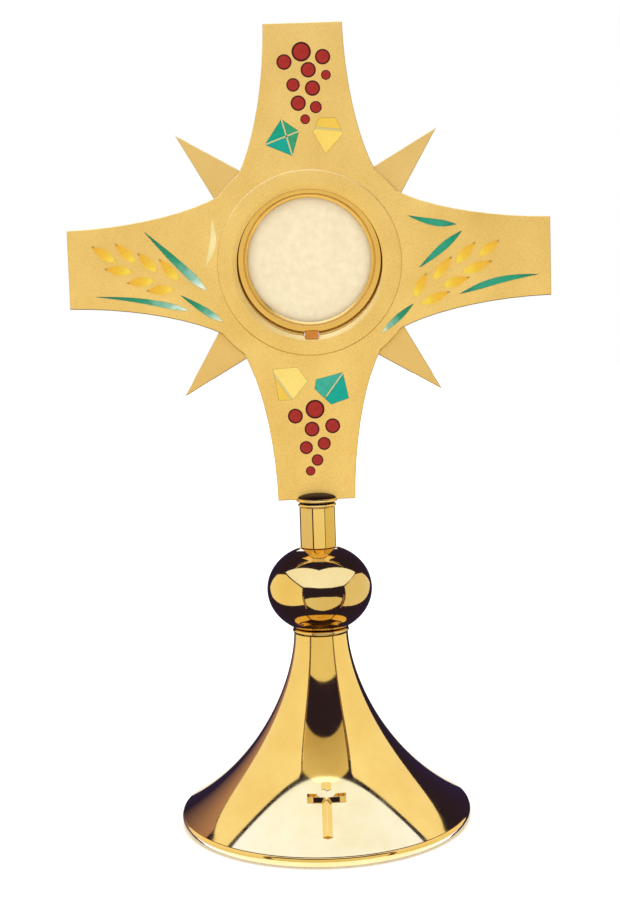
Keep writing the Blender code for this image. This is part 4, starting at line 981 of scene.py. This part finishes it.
class Studio:
    """Flat soft boxes round one group of pieces, placed by where the group's middle sees them."""

    reach = 2.0

    def __init__(self, name, pieces, target):
        self.name = name
        self.falls_on = receivers(name + "_pieces", pieces)
        self.target = Vector(target)

    def box(self, label, facing, outline, colours, shape="RECTANGLE", across=False, hole=None):
        """A soft box as wide as its outline, in its own plane and in units of its distance.

        Its colour fades from its lowest (or first) edge to its highest (or last). An outline of
        more than two corners cuts it, and so does a hole: a dark disc overhead, given as
        (its middle from front to back, its radius) where the sky is one unit up.
        """
        outward, upward, sideways = axes(facing)
        corners = [Vector(corner) * self.reach for corner in outline]
        least = Vector((min(c.x for c in corners), min(c.y for c in corners)))
        most = Vector((max(c.x for c in corners), max(c.y for c in corners)))
        size, middle = most - least, (most + least) / 2
        centre = self.target + outward * self.reach
        data = bpy.data.lights.new(self.name + "_" + label, "AREA")
        data.shape = shape
        data.size = size.x
        if shape == "RECTANGLE":
            data.size_y = size.y
        data.energy = math.pi * size.x * size.y * (1 if shape == "RECTANGLE" else math.pi / 4)
        data.use_nodes = True
        nodes = Tree(data.node_tree)
        position = nodes.add("NewGeometry").outputs["Position"]
        axis, start, length = (sideways, least.x, size.x) if across else (upward, least.y, size.y)
        share = nodes.math("SUBTRACT", nodes.dot(position, axis), centre.dot(axis) + start)
        colour = nodes.ramp(nodes.math("DIVIDE", share, length), (0.0, colours[0]), (1.0, colours[-1]))
        strength = 1.0
        if len(corners) > 2:
            for a, b in edges(corners):
                inward = Vector((a.y - b.y, b.x - a.x)).normalized() * turn_of(corners)
                normal = sideways * inward.x + upward * inward.y
                limit = centre.dot(normal) + a.dot(inward)
                inside = nodes.math("GREATER_THAN", nodes.dot(position, normal), limit)
                strength = nodes.math("MULTIPLY", inside, strength)
        if hole:
            inputs = {0: position, 1: tuple(self.target)}
            away = nodes.add("VectorMath", inputs, operation="SUBTRACT").outputs[0]
            high_up = nodes.dot(away, (0, 0, 1))
            across_sky = nodes.math("DIVIDE", nodes.dot(away, (1, 0, 0)), high_up)
            along_sky = nodes.math("DIVIDE", nodes.dot(away, (0, 1, 0)), high_up)
            along_sky = nodes.math("SUBTRACT", along_sky, hole[0])
            flat = nodes.add("CombineXYZ", {"X": across_sky, "Y": along_sky}).outputs[0]
            spread = nodes.add("VectorMath", {0: flat}, operation="LENGTH").outputs["Value"]
            strength = nodes.math("MULTIPLY", nodes.math("GREATER_THAN", spread, hole[1]), strength)
        emission = data.node_tree.nodes["Emission"]
        data.node_tree.links.new(colour, emission.inputs["Color"])
        if strength != 1.0:
            data.node_tree.links.new(strength, emission.inputs["Strength"])
        light = bpy.data.objects.new(data.name, data)
        turn = Matrix((sideways, upward, outward)).transposed().to_4x4()
        light.matrix_world = Matrix.Translation(centre + sideways * middle.x + upward * middle.y) @ turn
        light.visible_camera = False
        light.light_linking.receiver_collection = self.falls_on
        bpy.context.scene.collection.objects.link(light)

    def wall(self, label, azimuth, half_width, lowest, highest, *colours, **more):
        """An upright box, its sizes in degrees."""
        half = slope(half_width)
        self.box(label, (azimuth, 0), ((-half, slope(lowest)), (half, slope(highest))), colours, **more)

    def level(self, label, elevation, half_width, front, back, *colours, **more):
        """A level box, overhead (elevation 90) or below (-90)."""
        self.box(label, (0, elevation), ((-half_width, front), (half_width, back)), colours, **more)

    def cut(self, label, facing, corners, *colours, **more):
        """A box whose corners are directions, going round it."""
        outward, upward, sideways = axes(facing)
        outline = []
        for corner in corners:
            ray = toward(*corner)
            outline.append((ray.dot(sideways) / ray.dot(outward), ray.dot(upward) / ray.dot(outward)))
        self.box(label, facing, outline, colours, **more)


def make_world():
    """Pale to the camera and for soft light, but near black in a mirror, as a dark studio is."""
    world = bpy.data.worlds.new("studio")
    bpy.context.scene.world = world
    world.use_nodes = True
    tree = world.node_tree
    tree.nodes.clear()
    out = tree.nodes.new("ShaderNodeOutputWorld")
    path = tree.nodes.new("ShaderNodeLightPath")
    mirror = tree.nodes.new("ShaderNodeBackground")
    mirror.inputs["Color"].default_value = (0.028, 0.021, 0.080, 1)
    room = tree.nodes.new("ShaderNodeBackground")
    room.inputs["Color"].default_value = (1, 1, 1, 1)
    mix = tree.nodes.new("ShaderNodeMixShader")
    tree.links.new(path.outputs["Is Glossy Ray"], mix.inputs[0])
    tree.links.new(room.outputs[0], mix.inputs[1])
    tree.links.new(mirror.outputs[0], mix.inputs[2])
    tree.links.new(mix.outputs[0], out.inputs["Surface"])


BLACK = (0.0, 0.0, 0.0)
SOFT = (1.00, 1.00, 0.84)
BRIGHT = (1.18, 1.28, 1.50)
CREAM = (1.15, 1.56, 3.6)
MILK = (1.20, 1.75, 5.4)
OLIVE = (0.60, 0.56, 0.38)
DIM = (0.86, 0.84, 0.70)
BROWN = (0.50, 0.33, 0.36)
ORANGE = (0.42, 0.24, 0.10)
WHITE = (2.2, 2.6, 6.0)


def light_bell(pieces):
    studio = Studio("bell", pieces, (0, 0, SHELL_BOTTOM + 0.045))
    over = (0.18, 0.74)  # the overhead disc's middle, from front to back, and its radius
    hole = (over[0], over[1] + 0.05)
    studio.wall("centre", 2, 45, -36, 21, (0.92, 0.92, 0.78))
    studio.wall("arch", 0, 47, 45, 64, OLIVE, DIM)
    studio.level("over", 90, over[1], over[0] - over[1], over[0] + over[1], CREAM, MILK, shape="DISK")
    studio.wall("left", -91, 42, -36, 62, SOFT, BRIGHT, hole=hole)
    studio.wall("right", 93, 41, -36, 62, SOFT, BRIGHT, hole=hole)
    studio.wall("left_fade", -144, 11, -36, 36, BLACK, BROWN, across=True)
    studio.wall("left_strip", -46, 0.9, -30, 50, ORANGE)
    studio.wall("right_strip", 49.5, 0.9, -30, 50, ORANGE)
    studio.wall("back", 180, 14, -20, 45, SOFT)


def light_rim(pieces):
    """What the turned-under edge of the rim sees."""
    studio = Studio("rim", pieces, (0, 0, SHELL_BOTTOM))
    studio.level("below", -90, 1.3, -1.3, 1.3, (1.45, 1.7, 2.9))


def light_knop(pieces):
    studio = Studio("knop", pieces, (0, 0, KNOP_Z))
    lens_left = ((0, 68), (0, 18), (-37, 19.5), (-108, 34))
    lens_right = ((0, 68), (0, 18), (28, 17), (57, 17.5), (108, 28.5))
    studio.cut("lens_left", (0, 90), lens_left, (1.08, 1.34, 2.5))
    studio.cut("lens_right", (0, 90), lens_right, (1.08, 1.34, 2.5))
    left = ((-39, 16), (-53, 24), (-99, 32.5), (-125, 18), (-139, -5), (-129, -15), (-38, -30))
    studio.cut("left", (-88, 0), left, SOFT)
    right = ((57, 14), (76, 23), (101, 27), (125, 16), (145, -5), (135, -14), (57, -37))
    studio.cut("right", (98, 0), right, (0.86, 0.88, 0.86))
    low_lens = (
        (-33, -14), (-20, -10), (8, -8), (36, -10), (50, -15),
        (48, -31), (30, -45), (8, -51), (-16, -46), (-33, -31),
    )
    studio.cut("low_lens", (8, 0), low_lens, (0.82, 0.84, 0.76))
    studio.cut("left_strip", (-36, 0), ((-37.5, -6), (-35, -6), (-34, -40), (-37, -44)), ORANGE)
    studio.cut("right_strip", (54, 0), ((51.5, -6), (54, -6), (55, -44), (52, -40)), ORANGE)
    studio.box("stem_glow", (180, 0), ((-0.30, 1.2), (0.30, 4.0)), (SOFT,))
    studio.wall("left_spot", -168, 3.5, 24, 56, WHITE)
    studio.wall("right_spot", 169, 2.5, 24, 54, WHITE)
    studio.wall("back", 180, 7, -20, 20, SOFT)


def light_stem(pieces):
    studio = Studio("stem", pieces, (0, 0, high("stem_tube").z))
    studio.wall("centre", 9, 36, -60, 60, (1.00, 1.02, 0.98))
    studio.wall("left", -84, 49, -60, 60, (0.86, 0.855, 0.83))
    studio.wall("right", 94, 45, -60, 60, (0.81, 0.77, 0.50))
    studio.wall("back", 180, 25, -60, 60, SOFT)
    studio.level("over", 90, 0.58, -0.58, 0.58, SOFT)


def light_collar(pieces):
    studio = Studio("collar", pieces, (0, 0, high("collar").z))
    studio.wall("centre", 0, 62, -45, 40, (1.15, 1.35, 2.2))
    studio.wall("left", -98, 36, -45, 40, SOFT)
    studio.wall("right", 98, 36, -45, 40, SOFT)
    studio.wall("back", 180, 25, -40, 40, SOFT)


def light_metal(pieces):
    studio = Studio("metal", pieces, (0, 0, WINDOW.z))
    studio.wall("front", -10, 50, -40, 38, (1.34, 1.30, 1.00), (0.82, 0.80, 0.56))
    studio.wall("left", -86, 25, -40, 36, SOFT)
    studio.wall("right", 74, 33, -40, 38, DIM)
    studio.wall("low", 0, 50, -72, -42, SOFT)
    studio.wall("back", 180, 42, -38, 40, SOFT)
    studio.box("over", (0, 90), ((-1.5, -1.4), (0.7, 0.8)), ((1.4, 1.85, 3.6),))


def light_enamel(pieces):
    """The room's soft light already gives the enamel its colour: these only add its gloss."""
    studio = Studio("enamel", pieces, (0, 0, WINDOW.z))
    studio.level("over", 90, 0.8, -0.8, 0.2, (0.8, 0.8, 0.8))
    studio.wall("side", -80, 20, 0, 40, (0.8, 0.8, 0.8))


def light_stage(floor):
    """An even light from above makes the floor as white as the room."""
    data = bpy.data.lights.new("stage_sun", "SUN")
    data.energy = 1.6
    data.angle = math.radians(40)
    sun = bpy.data.objects.new("stage_sun", data)
    sun.light_linking.receiver_collection = receivers("stage_pieces", [floor])
    bpy.context.scene.collection.objects.link(sun)


def make_lights(floor):
    own = [obj for obj in bpy.context.scene.objects if obj.type == "MESH" and obj is not floor]

    def starting(*names):
        return [obj for obj in own if obj.name.startswith(names)]

    bell = starting("foot_", "base_emblem")
    knop = starting("knop_fine", "neck_ring_fine")
    stem = starting("stem_tube")
    collar = starting("collar")
    enamel = starting(
        "grape_", "leaf_", "blade_", "wheat_", "crescent_", "host_", "front_crystal", "back_crystal"
    )
    placed = {*bell, *knop, *stem, *collar, *enamel}
    light_bell(bell)
    light_rim(starting("foot_rim_fine"))
    light_knop(knop)
    light_stem(stem)
    light_collar(collar)
    light_enamel(enamel)
    light_metal([obj for obj in own if obj not in placed])
    light_stage(floor)


CAMERA_PLACE = (-0.003, -0.780, 0.282)
CAMERA_PITCH = math.radians(-5.37)
CAMERA_ROLL = math.radians(1.80)  # between the lean of the photo's head and that of its foot


def make_camera():
    data = bpy.data.cameras.new("camera")
    data.sensor_width = 36.0
    data.lens = 56.3
    camera = bpy.data.objects.new("camera", data)
    camera.location = CAMERA_PLACE
    camera.rotation_mode = "QUATERNION"
    camera.rotation_quaternion = (
        Matrix.Rotation(math.pi / 2 + CAMERA_PITCH, 4, "X") @ Matrix.Rotation(-CAMERA_ROLL, 4, "Z")
    ).to_quaternion()
    bpy.context.scene.collection.objects.link(camera)
    bpy.context.scene.camera = camera


make_world()
make_lights(make_floor())
make_camera()
bpy.context.scene.view_settings.view_transform = "Standard"
